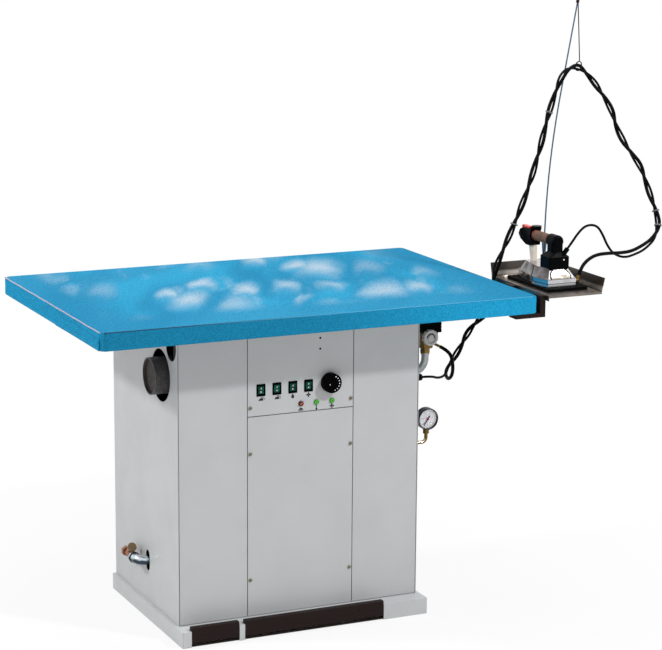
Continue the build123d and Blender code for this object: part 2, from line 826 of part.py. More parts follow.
def fan_volute():
    """A spiral casing hung from the table, with its inlet duct and outlet flange."""
    floor = EXHAUST_Z - FAN_HEIGHT / 2
    top = floor + FAN_HEIGHT
    profile = Plane(origin=(FAN_X, FAN_Y, floor)) * make_face(scroll(0))
    hollow = Plane(origin=(FAN_X, FAN_Y, floor + FAN_SHEET)) * make_face(scroll(FAN_SHEET))
    bore = DUCT_RADIUS - FAN_SHEET
    case = extrude(profile, FAN_HEIGHT) - extrude(hollow, FAN_HEIGHT - 2 * FAN_SHEET)
    case -= bar((FAN_X, FAN_Y, top - FAN_SHEET - 1), (0, 0, 1), bore, FAN_SHEET + 2)
    case -= bar((FAN_X, FAN_Y, floor - 1), (0, 0, 1), MOTOR_SHAFT + 5, FAN_SHEET + 2)
    mouth = (FAN_X - SCROLL_MOUTH - 1, EXHAUST_Y, EXHAUST_Z)
    case -= bar(mouth, (1, 0, 0), EXHAUST_RADIUS - EXHAUST_WALL, FAN_SHEET + 2)
    rim, thickness = DUCT_FLANGE
    duct = bar((FAN_X, FAN_Y, top), (0, 0, 1), DUCT_RADIUS, PLENUM_UNDER - top)
    duct += bar((FAN_X, FAN_Y, PLENUM_UNDER), (0, 0, -1), DUCT_RADIUS + rim, thickness)
    duct -= bar((FAN_X, FAN_Y, top - 1), (0, 0, 1), bore, PLENUM_UNDER - top + 2)
    return welded(case, duct)


def scroll(inset):
    """The casing outline: three quarter arcs that open out to the mouth."""
    a = SCROLL_FIRST - inset
    b = SCROLL_SECOND - inset
    c = SCROLL_THIRD - inset
    drop = SCROLL_SECOND - SCROLL_FIRST
    back = SCROLL_THIRD - SCROLL_SECOND
    low = -drop - c
    mouth = -SCROLL_MOUTH + inset
    tongue = EXHAUST_Y - FAN_Y + EXHAUST_RADIUS - inset
    first = CenterArc((0, 0), a, 90, 90)
    second = CenterArc((0, -drop), b, 0, 90)
    third = CenterArc((-back, -drop), c, -90, 90)
    base = Line((-back, low), (mouth, low))
    face = Line((mouth, low), (mouth, tongue))
    lip = Line((mouth, tongue), (-a, tongue))
    rise = Line((-a, tongue), (-a, 0))
    return Curve() + [first, second, third, base, face, lip, rise]


def fan_impeller():
    """A closed impeller: hub, back plate, curved blades and a front ring on its shaft."""
    floor = EXHAUST_Z - FAN_HEIGHT / 2
    plate = floor + WHEEL_LIFT
    centre = (FAN_X, FAN_Y)
    wheel = bar((*centre, plate), (0, 0, 1), IMPELLER_RADIUS, WHEEL_SHEET)
    wheel += bar((*centre, plate - HUB_DROP), (0, 0, 1), HUB_RADIUS, HUB_LENGTH)
    band = bar((*centre, plate + WHEEL_DEPTH), (0, 0, 1), IMPELLER_RADIUS, WHEEL_SHEET)
    wheel += band - bar((*centre, plate + WHEEL_DEPTH - 1), (0, 0, 1), WHEEL_BORE, WHEEL_SHEET + 2)
    outer = IMPELLER_RADIUS - 1
    turn = radians(BLADE_SWEEP)
    start = (BLADE_INNER, 0)
    end = (outer * cos(turn), outer * sin(turn))
    back_start = (BLADE_INNER + WHEEL_SHEET, 0)
    back_end = tuple(v * (outer + WHEEL_SHEET) / outer for v in end)
    outline = Curve() + [
        RadiusArc(start, end, BLADE_ARC), Line(end, back_end),
        RadiusArc(back_end, back_start, -BLADE_ARC), Line(back_start, start),
    ]
    blade = extrude(make_face(outline), WHEEL_DEPTH)
    for n in range(BLADES):
        wheel += Pos(FAN_X, FAN_Y, plate + 1) * Rot(0, 0, 360 * n / BLADES) * blade
    shaft = SHAFT_DROP + WHEEL_LIFT + HUB_DROP
    return wheel + bar((*centre, floor - SHAFT_DROP), (0, 0, 1), MOTOR_SHAFT, shaft)


def fan_motor():
    """The fan motor, flanged to the casing's floor."""
    floor = EXHAUST_Z - FAN_HEIGHT / 2
    rim, thickness = MOTOR_FLANGE
    motor = bar((FAN_X, FAN_Y, floor), (0, 0, -1), MOTOR_RADIUS + rim, thickness)
    motor += bar((FAN_X, FAN_Y, floor), (0, 0, -1), MOTOR_RADIUS, MOTOR_LENGTH)
    motor = chamfer(motor.faces().sort_by(Axis.Z)[0].edges(), MOTOR_CHAMFER)
    half, reach, high, low = TERMINAL_BOX
    side = FAN_Y + MOTOR_RADIUS
    motor += block(FAN_X - half, FAN_X + half, side - 10, side + reach, floor - low, floor - high)
    return motor - bar((FAN_X, FAN_Y, floor + 1), (0, 0, -1), MOTOR_SHAFT + FIT, SHAFT_DROP + 6)


def exhaust_spigot():
    """The black exhaust tube with its recessed silencer pad."""
    start = FAN_X - SCROLL_MOUTH
    end = LEFT - EXHAUST_REACH
    bore = EXHAUST_RADIUS - EXHAUST_WALL
    recess, thickness = SILENCER
    tube = bar((end, EXHAUST_Y, EXHAUST_Z), (1, 0, 0), EXHAUST_RADIUS, start - end)
    tube -= bar((end - 1, EXHAUST_Y, EXHAUST_Z), (1, 0, 0), bore, start - end + 2)
    return tube + bar((end + recess, EXHAUST_Y, EXHAUST_Z), (1, 0, 0), bore, thickness)


# Boiler and pipework

def boiler():
    """A standing pressure vessel on three legs, with its element flange."""
    low = BOILER_BOTTOM
    top = low + BOILER_HEIGHT
    shell = bar((BOILER_X, BOILER_Y, low), (0, 0, 1), BOILER_RADIUS, BOILER_HEIGHT)
    shell = fillet(shell.edges().filter_by(GeomType.CIRCLE), BOILER_SHOULDER)
    shell += bar((BOILER_X, BOILER_Y, top - BOSS_ROOT), (0, 0, 1), OUTLET_BOSS, BOSS_ROOT + BOSS_RISE)
    shell += bar((BOILER_X, BOILER_Y, low + BOSS_ROOT), (0, 0, -1), DRAIN_BOSS, BOSS_RISE)
    safety = (BOILER_X + SAFETY_SHIFT, BOILER_Y, top - SAFETY_ROOT)
    shell += bar(safety, (0, 0, 1), SAFETY_BOSS, SAFETY_ROOT + BOSS_ROOT)
    gauge = (BOILER_X, BOILER_Y - BOILER_RADIUS + BOSS_ROOT, GAUGE_PIPE_Z)
    shell += bar(gauge, (0, -1, 0), GAUGE_BOSS, BOSS_ROOT + GAUGE_BOSS_RISE)
    for n in range(3):
        angle = radians(90 + 120 * n)
        x = BOILER_X + (BOILER_RADIUS - LEG_RADIUS) * cos(angle)
        y = BOILER_Y + (BOILER_RADIUS - LEG_RADIUS) * sin(angle)
        shell += bar((x, y, PLINTH_TOP), (0, 0, 1), LEG_RADIUS, low + 2 * BOILER_SHOULDER - PLINTH_TOP)
        shell += bar((x, y, PLINTH_TOP), (0, 0, 1), *LEG_FOOT)
    face = BOILER_Y + BOILER_RADIUS
    middle = low + ELEMENT_RISE
    root = BOILER_RADIUS / 9
    shell += bar((BOILER_X, face - root, middle), (0, 1, 0), ELEMENT_RADIUS, root + ELEMENT_FLANGE)
    for n in range(ELEMENT_BOLTS):
        angle = 2 * pi * n / ELEMENT_BOLTS
        x = BOILER_X + ELEMENT_CIRCLE * cos(angle)
        z = middle + ELEMENT_CIRCLE * sin(angle)
        shell += hexagon((x, face + ELEMENT_FLANGE, z), (0, 1, 0), *ELEMENT_BOLT)
    return shell


def safety_valve():
    """The brass safety valve on its own boss."""
    foot = (BOILER_X + SAFETY_SHIFT, BOILER_Y, BOILER_BOTTOM + BOILER_HEIGHT + BOSS_ROOT)
    up = (0, 0, 1)
    nut, stem, cap = SAFETY_HEIGHTS
    valve = hexagon(foot, up, 2 * SAFETY_BOSS, nut)
    valve += bar(along_from(foot, up, nut), up, SAFETY_BOSS - 2, stem)
    valve += bar(along_from(foot, up, nut + stem), up, SAFETY_BOSS + 1, cap)
    return valve + bar(along_from(foot, up, nut + stem / 2), (0, 1, 0), SAFETY_BOSS / 2, SAFETY_OUTLET)


def steam_pipe():
    """The galvanised steam line from the boiler, out of the side and up to the valve."""
    start = BOILER_BOTTOM + BOILER_HEIGHT + BOSS_RISE
    points = [
        (BOILER_X, BOILER_Y, start), (BOILER_X, BOILER_Y, STEAM_Z), (RIGHT - PIPE_CORNER, STEAM_Y, STEAM_Z),
        (STEAM_X, STEAM_Y, STEAM_Z), (STEAM_X, STEAM_Y, VALVE_BASE),
    ]
    bore = PIPE_RADIUS - PIPE_WALL
    wall, height = PIPE_COLLAR
    line = pipe(points, [PIPE_BEND] * 3, PIPE_RADIUS, bore)
    line += bar((STEAM_X, STEAM_Y, VALVE_BASE), (0, 0, -1), PIPE_RADIUS + wall, height)
    return line - bar((STEAM_X, STEAM_Y, VALVE_BASE + 1), (0, 0, -1), bore, height + 2)


def steam_valve():
    """The brass steam valve body with its nut, bonnet and hose barb."""
    nut = hexagon((STEAM_X, STEAM_Y, VALVE_BASE), (0, 0, 1), *VALVE_NUT)
    body = block(
        STEAM_X - BODY_HALF, STEAM_X + BODY_HALF, STEAM_Y - BODY_HALF, STEAM_Y + BODY_HALF,
        BODY_BASE, BODY_TOP,
    )
    body = chamfer(body.edges().filter_by(Axis.Z), BODY_CHAMFER)
    body = fillet(body.edges().group_by(Axis.Z)[0], 2.5)
    front = (STEAM_X, STEAM_Y - BODY_HALF, KNOB_Z)
    body += bar(front, (0, -1, 0), *KNOB_NECK)
    out = exit_axis(HOSE_END[::-1])
    ball = along_from(HOSE_END[-1], out, -BARB_LENGTH)
    root = (STEAM_X + BODY_HALF / 2, ball[1], ball[2])
    body += bar(root, (1, 0, 0), BARB_BALL - 1.5, ball[0] - root[0])
    body += Pos(*ball) * Sphere(BARB_BALL)
    body += bar(ball, out, BARB_CORE, BARB_LENGTH - CLEAR)
    for n in range(BARB_RINGS):
        base = Plane(origin=along_from(ball, out, BARB_BALL + BARB_PITCH * n), z_dir=out)
        body += base * Cone(BARB_RADIUS, BARB_CORE, BARB_PITCH - 0.5, align=STANDING)
    start = along_from(front, (0, 1, 0), -KNOB_NECK[1] - 1)
    return nut + body - bar(start, (0, 1, 0), KNOB_SHAFT + FIT, KNOB_SHAFT_LENGTH + 2)


def solenoid_coil():
    """The ribbed black coil on the valve with its plug housing."""
    x0, x1 = (STEAM_X + shift for shift in COIL_X)
    y0 = STEAM_Y - COIL_HALF
    y1 = STEAM_Y + COIL_HALF
    top = TABLE_UNDER - COIL_GAP
    coil = block(x0, x1, y0, y1, BODY_TOP, top)
    coil = fillet(coil.edges().filter_by(Axis.Z), COIL_CORNER)
    for n in range(COIL_RIBS):
        z = BODY_TOP + COIL_PITCH * (n + 1)
        groove = block(x0 - 1, x1 + 1, y0 - 1, y1 + 1, z, z + COIL_GROOVE)
        coil -= groove - block(x0 + 2, x1 - 2, y0 + 2, y1 - 2, z - 1, z + COIL_GROOVE + 1)
    p0, p1 = (STEAM_X + shift for shift in PLUG_X)
    coil += block(p0, p1, STEAM_Y - PLUG_HALF, STEAM_Y + PLUG_HALF, PLUG_Z, BODY_TOP + 1)
    return coil + bar((STEAM_X, STEAM_Y, top), (0, 0, 1), COIL_HALF / 2, COIL_GAP / 2)


def steam_knob():
    """The grey steam regulating knob with finger grooves and its stem."""
    start = (STEAM_X, STEAM_Y - BODY_HALF - KNOB_NECK[1] - 1, KNOB_Z)
    front = along_from(start, (0, -1, 0), KNOB_THICKNESS + 1)
    knob = bar(start, (0, -1, 0), KNOB_RADIUS, KNOB_THICKNESS)
    knob = fillet(knob.edges().group_by(Axis.Y)[0], 3)
    reach = KNOB_RADIUS + 0.4 * KNOB_GROOVE
    for n in range(KNOB_GROOVES):
        angle = 2 * pi * n / KNOB_GROOVES
        point = (front[0] + reach * cos(angle), front[1], front[2] + reach * sin(angle))
        knob -= bar(point, (0, 1, 0), KNOB_GROOVE, KNOB_THICKNESS + 2)
    radius, depth = KNOB_DISH
    knob -= bar(front, (0, 1, 0), radius, depth + 1) - bar(front, (0, 1, 0), KNOB_HUB, depth + 2)
    return knob + bar(start, (0, 1, 0), KNOB_SHAFT, KNOB_SHAFT_LENGTH)


def gauge_front():
    """The gauge's face plane."""
    return STEAM_Y - GAUGE_LEAD


def gauge_case():
    """The round gauge housing with its bezel."""
    y0 = gauge_front()
    case = bar((GAUGE_X, y0, GAUGE_Z), (0, 1, 0), GAUGE_RADIUS, GAUGE_DEPTH)
    case = fillet(case.edges().group_by(Axis.Y)[-1], 5)
    case = fillet(case.edges().group_by(Axis.Y)[0], GAUGE_BEZEL / 2)
    case -= bar((GAUGE_X, y0 - 1, GAUGE_Z), (0, 1, 0), GAUGE_RADIUS - GAUGE_BEZEL, GAUGE_RECESS + 1)
    return case - bar((GAUGE_X, y0, GAUGE_Z), (0, 1, 0), NEEDLE_PIN + FIT, GAUGE_RECESS + 6)


def gauge_glass():
    """The gauge's window."""
    recess, thickness = GLASS
    place = (GAUGE_X, gauge_front() + recess, GAUGE_Z)
    return bar(place, (0, 1, 0), GAUGE_RADIUS - GAUGE_BEZEL - FIT, thickness)


def gauge_needle():
    """The gauge needle with its hub and pin."""
    middle = (GAUGE_X, gauge_front() + NEEDLE_SEAT, GAUGE_Z)
    plane = Plane(origin=middle, x_dir=(1, 0, 0), z_dir=(0, -1, 0))
    tail = (NEEDLE_PIN * 1.4, -NEEDLE_TAIL)
    blade = Polygon((-tail[0], tail[1]), tail, (0.5, NEEDLE_TIP), (-0.5, NEEDLE_TIP), align=None)
    needle = extrude(plane * blade, -0.6)
    needle += bar(along_from(middle, (0, 1, 0), -0.4), (0, 1, 0), NEEDLE_HUB, 1.4)
    needle += bar(middle, (0, 1, 0), NEEDLE_PIN, GAUGE_RECESS + 1)
    return turned(needle, middle, (0, 1, 0), -NEEDLE_REST)


def gauge_pipe():
    """The brass tube from the boiler to the gauge, with its nut and side fitting."""
    start = BOILER_Y - BOILER_RADIUS - GAUGE_BOSS_RISE
    neck = GAUGE_Z - GAUGE_RADIUS
    points = [
        (BOILER_X, start, GAUGE_PIPE_Z), (BOILER_X, STEAM_Y, GAUGE_PIPE_Z),
        (GAUGE_X, STEAM_Y, GAUGE_PIPE_Z), (GAUGE_X, STEAM_Y, neck),
    ]
    across, height = GAUGE_NUT
    line = pipe(points, [16, 14], GAUGE_PIPE)
    line += hexagon((GAUGE_X, STEAM_Y, neck - height), (0, 0, 1), across, height - CLEAR)
    return line + hexagon((RIGHT + CLEAR, STEAM_Y, GAUGE_PIPE_Z), (1, 0, 0), *SIDE_NUT)


def drain_pipe():
    """The drain from under the boiler, out of the side slot, with its elbow."""
    out = LEFT - DRAIN_BEND
    end = BOILER_Y + DRAIN_BEND + DRAIN_RUN
    start = BOILER_BOTTOM + BOSS_ROOT - BOSS_RISE
    joint = (LEFT + ELBOW_START, BOILER_Y, DRAIN_Z)
    radius, bend = DRAIN_LINE
    line = pipe([(BOILER_X, BOILER_Y, start), (BOILER_X, BOILER_Y, DRAIN_Z), joint], [bend], radius)
    elbow = pipe([joint, (out, BOILER_Y, DRAIN_Z), (out, end, DRAIN_Z)], [DRAIN_BEND - 1], DRAIN_RADIUS)
    wall, width = ELBOW_BEAD
    return line + elbow + bar((out, end, DRAIN_Z), (0, -1, 0), DRAIN_RADIUS + wall, width)


def drain_frame():
    """The drain valve's start point, its stem's foot and its stem's direction."""
    start = (LEFT - DRAIN_BEND, BOILER_Y + DRAIN_BEND + DRAIN_RUN, DRAIN_Z)
    axis = (0, -cos(radians(WHEEL_TILT)), sin(radians(WHEEL_TILT)))
    return start, (start[0], start[1] + STEM_FOOT, start[2]), axis


def drain_valve():
    """The brass drain valve: hex ends, a body and an angled bonnet."""
    start, foot, axis = drain_frame()
    back = (0, 1, 0)
    end = along_from(start, back, VALVE_LENGTH)
    body = hexagon(start, back, *VALVE_INLET)
    body += bar(start, back, DRAIN_BORE + 2, VALVE_LENGTH)
    across, height = VALVE_OUTLET
    body += hexagon(along_from(end, back, -height), back, across, height)
    body += bar(foot, axis, DRAIN_BORE + 1, BONNET)
    across, height = BONNET_NUT
    body += hexagon(along_from(foot, axis, BONNET - 10), axis, across, height)
    body -= bar(along_from(end, back, 1), (0, -1, 0), DRAIN_BORE, OUTLET_DEPTH + 1)
    return body - bar(foot, axis, WHEEL_STEM + FIT, BONNET + 1)


def along_from(point, axis, distance):
    """The point a distance along an axis from another point."""
    return tuple(point[k] + axis[k] * distance for k in range(3))


def drain_wheel():
    """The drain valve's round handwheel with its stem."""
    start, foot, axis = drain_frame()
    face = along_from(foot, axis, BONNET + CLEAR)
    wheel = bar(face, axis, WHEEL_RADIUS, WHEEL_THICKNESS)
    reach = WHEEL_RADIUS + WHEEL_FLUTE / 2
    for n in range(WHEEL_FLUTES):
        angle = 2 * pi * n / WHEEL_FLUTES
        side = (cos(angle), sin(angle) * axis[2], -sin(angle) * axis[1])
        point = along_from(along_from(face, side, reach), axis, -1)
        wheel -= bar(point, axis, WHEEL_FLUTE, WHEEL_THICKNESS + 2)
    return wheel + bar(along_from(face, axis, -14), axis, WHEEL_STEM, 15)


def water_tank():
    """The feed water tank with its filler cap and outlet."""
    top = PLINTH_TOP + TANK_HEIGHT
    tank = block(*TANK_X, *TANK_Y, PLINTH_TOP, top)
    tank = fillet(tank.edges().filter_by(Axis.Z), TANK_CORNER)
    x = TANK_X[0] + FILLER_INSET
    y = sum(TANK_Y) / 2
    tank += bar((x, y, top), (0, 0, 1), *FILLER_NECK)
    tank += bar((x, y, top + FILLER_NECK[1]), (0, 0, 1), *FILLER_CAP)
    return tank + bar((x, TANK_Y[0] + 1, PLINTH_TOP + 30), (0, -1, 0), *TANK_OUTLET)


def feed_pump():
    """The feed pump: motor, brass head and foot."""
    x, y = PUMP_START
    z = PLINTH_TOP + PUMP_RISE
    middle = x + PUMP_LENGTH / 2 - 10
    half_x, half_y, thickness = PUMP_FOOT
    foot = PLINTH_TOP + thickness
    pump = block(middle - half_x, middle + half_x, y - half_y, y + half_y, PLINTH_TOP, foot)
    half_x, half_y = PUMP_WEB
    pump += block(middle - half_x, middle + half_x, y - half_y, y + half_y, PLINTH_TOP, z)
    pump += bar((x, y, z), (1, 0, 0), PUMP_RADIUS, PUMP_LENGTH)
    radius, length = PUMP_HEAD
    pump += bar((x + PUMP_LENGTH, y, z), (1, 0, 0), radius, length)
    return pump + hexagon((x + PUMP_LENGTH + length / 2, y, z + radius / 2), (0, 0, 1), 17, radius)


def cable_glands():
    """The iron cable's gland on the side and the empty mains gland at the back."""
    group = Part()
    thickness = GLAND_NUT[1]
    for point, axis in (((RIGHT, GLAND_Y, GLAND_Z), (1, 0, 0)), ((MAINS_X, BACK, MAINS_Z), (0, 1, 0))):
        inside = along_from(point, axis, -GLAND_THREAD)
        gland = bar(inside, axis, GLAND_THREAD, GLAND_THREAD + 1)
        gland += hexagon(point, axis, *GLAND_NUT)
        cap = bar(along_from(point, axis, thickness - 1), axis, GLAND_CAP, GLAND_LENGTH - thickness + 1)
        end = cap.faces().filter_by(GeomType.PLANE).sort_by(Axis(point, axis))[-1]
        cap = fillet(end.edges(), 3)
        group += gland + cap - bar(inside, axis, CABLE_RADIUS + CLEAR, GLAND_LENGTH + 10)
    return group


# Tabletop

def table_box(inset, z0, z1, corner):
    """A plain slab of the tabletop's outline, inset from its edge."""
    half_x = TABLE_LENGTH / 2 - inset
    half_y = TABLE_DEPTH / 2 - inset
    slab = block(
        TABLE_SHIFT_X - half_x, TABLE_SHIFT_X + half_x,
        TABLE_SHIFT_Y - half_y, TABLE_SHIFT_Y + half_y, z0, z1,
    )
    return fillet(slab.edges().filter_by(Axis.Z), corner)


def cloth_cover():
    """The cover cloth: top, rounded edges, sides and an inturned hem."""
    outer = table_box(0, TABLE_UNDER, TABLE_HEIGHT, TABLE_CORNER)
    outer = fillet(outer.edges().group_by(Axis.Z)[-1], TABLE_EDGE)
    outer = fillet(outer.edges().group_by(Axis.Z)[0], TABLE_EDGE / 2)
    inner = table_box(CLOTH, TABLE_UNDER + CLOTH, TABLE_HEIGHT - CLOTH, TABLE_CORNER - CLOTH)
    inner = fillet(inner.edges().group_by(Axis.Z)[-1], TABLE_EDGE - CLOTH)
    inner = fillet(inner.edges().group_by(Axis.Z)[0], TABLE_EDGE / 2 - CLOTH)
    window = table_box(CLOTH_HEM, TABLE_UNDER - 1, TABLE_UNDER + CLOTH + 1, TABLE_CORNER)
    return outer - inner - window


def foam_pad():
    """The foam pad on the plate."""
    pad = table_box(PAD_INSET, PLATE_TOP, FOAM_TOP, TABLE_CORNER - PAD_INSET)
    return fillet(pad.edges().group_by(Axis.Z)[-1], TABLE_EDGE - PAD_INSET)


def suction_plate():
    """The slotted suction plate that closes the table's box."""
    plate = table_box(PAD_INSET + 3, PLATE_UNDER, PLATE_TOP, TABLE_CORNER - PAD_INSET)
    step_x = (TABLE_LENGTH - SLOT_MARGIN) / SLOT_COLUMNS
    step_y = (TABLE_DEPTH - SLOT_MARGIN) / SLOT_ROWS
    for i in range(SLOT_COLUMNS):
        for j in range(SLOT_ROWS):
            x = TABLE_SHIFT_X + (i - (SLOT_COLUMNS - 1) / 2) * step_x
            y = TABLE_SHIFT_Y + (j - (SLOT_ROWS - 1) / 2) * step_y
            plate -= block(
                x - SLOT_LENGTH / 2, x + SLOT_LENGTH / 2, y - SLOT_WIDTH / 2, y + SLOT_WIDTH / 2,
                PLATE_UNDER - 1, PLATE_TOP + 1,
            )
    return plate


def tray_outline(inset, cut):
    """The sheet box's outline, with its corners cut off, inset from the tabletop's edge."""
    half_x = TABLE_LENGTH / 2 - inset
    half_y = TABLE_DEPTH / 2 - inset
    x0, x1 = TABLE_SHIFT_X - half_x, TABLE_SHIFT_X + half_x
    y0, y1 = TABLE_SHIFT_Y - half_y, TABLE_SHIFT_Y + half_y
    return [
        (x0 + cut, y0), (x1 - cut, y0), (x1, y0 + cut), (x1, y1 - cut),
        (x1 - cut, y1), (x0 + cut, y1), (x0, y1 - cut), (x0, y0 + cut),
    ]


def tray_walls(outer, inner, z0, z1):
    """The box's eight wall strips, mitred where they meet."""
    walls = []
    for n in range(len(outer)):
        after = (n + 1) % len(outer)
        strip = Polygon(outer[n], outer[after], inner[after], inner[n], align=None)
        walls.append(extrude(Plane.XY.offset(z0) * strip, z1 - z0))
    return walls


def stiffener(x, y0, y1, z0):
    """One rib across the box, with a tab that holds the plate."""
    low = PLATE_UNDER - STIFFENER_DROP
    width, length = STIFFENER_TAB
    rib = block(x, x + STIFFENER_SHEET, y0, y1, z0, low)
    return rib + block(x, x + width, y0, y0 + length, low - STIFFENER_SHEET, PLATE_UNDER)


def table_plenum():
    """The table's sheet box: a bottom with its suction hole, welded walls and stiffeners."""
    inset = PAD_INSET + TRAY_INSET
    outer = tray_outline(inset, TRAY_CUT)
    inner = tray_outline(inset + SHEET, TRAY_CUT - SHEET * (2 - sqrt(2)))
    floor = PLENUM_UNDER + SHEET
    bottom = extrude(Plane.XY.offset(PLENUM_UNDER) * Polygon(*outer, align=None), SHEET)
    bottom -= bar((FAN_X, FAN_Y, PLENUM_UNDER - 1), (0, 0, 1), DUCT_RADIUS - FAN_SHEET, HOLE_DEPTH)
    y0, y1 = inner[0][1], inner[4][1]
    ribs = [stiffener(x, y0, y1, floor) for x in STIFFENER_XS]
    return welded(bottom, *tray_walls(outer, inner, floor, PLATE_UNDER), *ribs)


# Iron rest

def rest_bracket():
    """Two black brackets from under the table to the tray's flange."""
    group = Part()
    top = TABLE_UNDER
    low = top - BRACKET_ARM
    inner_edge = TABLE_SHIFT_X + TABLE_LENGTH / 2 - CLOTH_HEM - BRACKET_PAD_INSET
    front_edge = TABLE_SHIFT_Y - TABLE_DEPTH / 2 + CLOTH_HEM + 2
    for y in BRACKET_YS:
        y1 = y + BRACKET_WIDTH
        group += block(BRACKET_INNER, REST_LEFT, y, y1, low, top)
        group += block(BRACKET_INNER, inner_edge, max(y, front_edge), y1, top, PLENUM_UNDER)
        group += block(REST_LEFT - BRACKET_TUBE, REST_LEFT, y, y1, low, REST_TOP - REST_SHEET)
    return group


def lip_profile(low, high, lean):
    """A leaning lip's cross-section points, from its foot to its top."""
    return [(0, low), (REST_SHEET, low), (REST_SHEET + lean, high), (lean, high)]


def rest_tray():
    """The stainless tray with leaning lips at its back and right, and turned-down edges."""
    x0 = REST_LEFT
    x1 = REST_LEFT + REST_WIDTH
    y0 = REST_FRONT
    y1 = REST_FRONT + REST_LENGTH
    low = REST_TOP - REST_SHEET
    tray = block(x0, x1, y0, y1, low, REST_TOP)
    tray += block(x0, x0 + REST_SHEET, y0, y1, REST_TOP - REST_FLANGE, REST_TOP)
    tray += block(x0, x1, y0, y0 + REST_SHEET, REST_TOP - REST_FRONT_EDGE, REST_TOP)
    high = REST_TOP + REST_LIP
    right = Plane(origin=(x1 - REST_SHEET, y0, 0), x_dir=(1, 0, 0), z_dir=(0, -1, 0))
    profile = Polygon(*lip_profile(low, high, REST_LEAN), align=None)
    tray += extrude(right * profile, -REST_LENGTH)
    back = Plane(origin=(x0, y1 - REST_SHEET, 0), x_dir=(0, 1, 0), z_dir=(1, 0, 0))
    tray += extrude(back * profile, REST_WIDTH)
    return tray


def rest_mat():
    """The ribbed rubber mat under the iron."""
    mat = block(*MAT_X, *MAT_Y, REST_TOP, MAT_TOP)
    mat = fillet(mat.edges().filter_by(Axis.Z), MAT_CORNER)
    mat = chamfer(mat.faces().sort_by(Axis.Z)[-1].edges(), 1.5)
    width, depth = MAT_GROOVE
    pitch = (MAT_X[1] - MAT_X[0]) / (MAT_GROOVES + 1)
    for n in range(MAT_GROOVES):
        x = MAT_X[0] + pitch * (n + 1)
        y0 = MAT_Y[0] + MAT_MARGIN
        y1 = MAT_Y[1] - MAT_MARGIN
        mat -= block(x - width / 2, x + width / 2, y0, y1, MAT_TOP - depth, MAT_TOP + 1)
    return mat


# Iron


def iron_outline(z, inset=0, heel=0, nose=0):
    """The iron's plan outline at a height, with its sides, heel and nose drawn in."""
    a = SOLE_HEEL - inset
    b = SOLE_WIDEST - inset
    length = IRON_LENGTH - nose
    share, place = SOLE_TAPER
    c = b * share
    right = Spline((a, heel), (b, SOLE_WAIST), (c, place), (0, length), tangents=((0.25, 1), (-1, 0)))
    left = Spline((0, length), (-c, place), (-b, SOLE_WAIST), (-a, heel), tangents=((-1, 0), (0.25, -1)))
    base = Line((-a, heel), (a, heel))
    return Plane(origin=(IRON_X, IRON_Y, z)) * make_face(Curve() + [right, left, base])


def iron_sole():
    """The sole plate."""
    plate = extrude(iron_outline(MAT_TOP, 1), SOLE_THICKNESS)
    return chamfer(plate.faces().sort_by(Axis.Z)[0].edges(), 1.5)


def iron_cover():
    """The chromed skirt and faceted cover with the dark gap behind its nose."""
    skirt = extrude(iron_outline(SOLE_TOP), SKIRT_HEIGHT)
    cover = loft([iron_outline(SKIRT_TOP, *COVER_FOOT), iron_outline(COVER_TOP, *COVER_CROWN)])
    place, width, core_inset = COVER_GAP
    gap = Plane(origin=(IRON_X, IRON_Y + place, COVER_TOP), x_dir=(1, 0, 0), z_dir=(0, 1, -0.25))
    slab = extrude(gap * Rectangle(120, 34), width)
    core = extrude(iron_outline(SKIRT_TOP - 1, core_inset, core_inset, 36), COVER_HEIGHT - 2)
    width, depth, height, rise = HEEL_SLOT
    z0 = SKIRT_TOP + rise
    slot = block(IRON_X - width / 2, IRON_X + width / 2, IRON_Y - 1, IRON_Y + depth, z0, z0 + height)
    elbow = inlet_elbow()
    bore = bar((IRON_X + INLET_DEPTH, elbow[1], elbow[2]), (1, 0, 0), INLET_RADIUS + CLEAR, 40)
    return skirt + cover - (slab - core) - slot - bore


def exit_axis(route):
    """The direction in which a cord leaves its first point."""
    return unit(tuple(route[1][k] - route[0][k] for k in range(3)))


def inlet_elbow():
    """The middle of the iron's inlet elbow, set back from the hose's first point."""
    return along_from(HOSE_START[0], exit_axis(HOSE_START), -FERRULE)


def iron_tower():
    """The black rear housing: a box, a sloping shoulder and the grip's round cap."""
    half = TOWER_WIDTH / 2
    box = block(IRON_X - half, IRON_X + half, TOWER_Y, TOWER_Y + TOWER_LENGTH, COVER_TOP, TOWER_SHOULDER)
    box = fillet(box.edges().filter_by(Axis.Z), TOWER_CORNER)
    middle = TOWER_Y + TOWER_LENGTH / 2
    neck = TOWER_SHOULDER + TOWER_SLOPE
    wide = RectangleRounded(TOWER_WIDTH, TOWER_LENGTH, TOWER_CORNER)
    narrow = RectangleRounded(*TOWER_NECK, 2 * TOWER_CORNER)
    low = Plane(origin=(IRON_X, middle, TOWER_SHOULDER)) * wide
    high = Plane(origin=(IRON_X, middle, neck)) * narrow
    cap = bar((IRON_X, middle - NECK_HALF, GRIP_Z), (0, 1, 0), NECK_RADIUS, 2 * NECK_HALF)
    cap = fillet(cap.edges().group_by(Axis.Y)[0], NECK_RADIUS / 2)
    tower = box + loft([low, high]) + extrude(high, GRIP_Z - neck) + cap
    out = exit_axis(CABLE_START)
    foot = along_from(CABLE_START[0], out, -CABLE_DEPTH)
    tower += bar(foot, out, BOOT_RADIUS, CABLE_BOOT)
    return tower - bar(along_from(foot, out, CABLE_DEPTH - 1), out, CABLE_RADIUS + CLEAR, CABLE_BOOT)


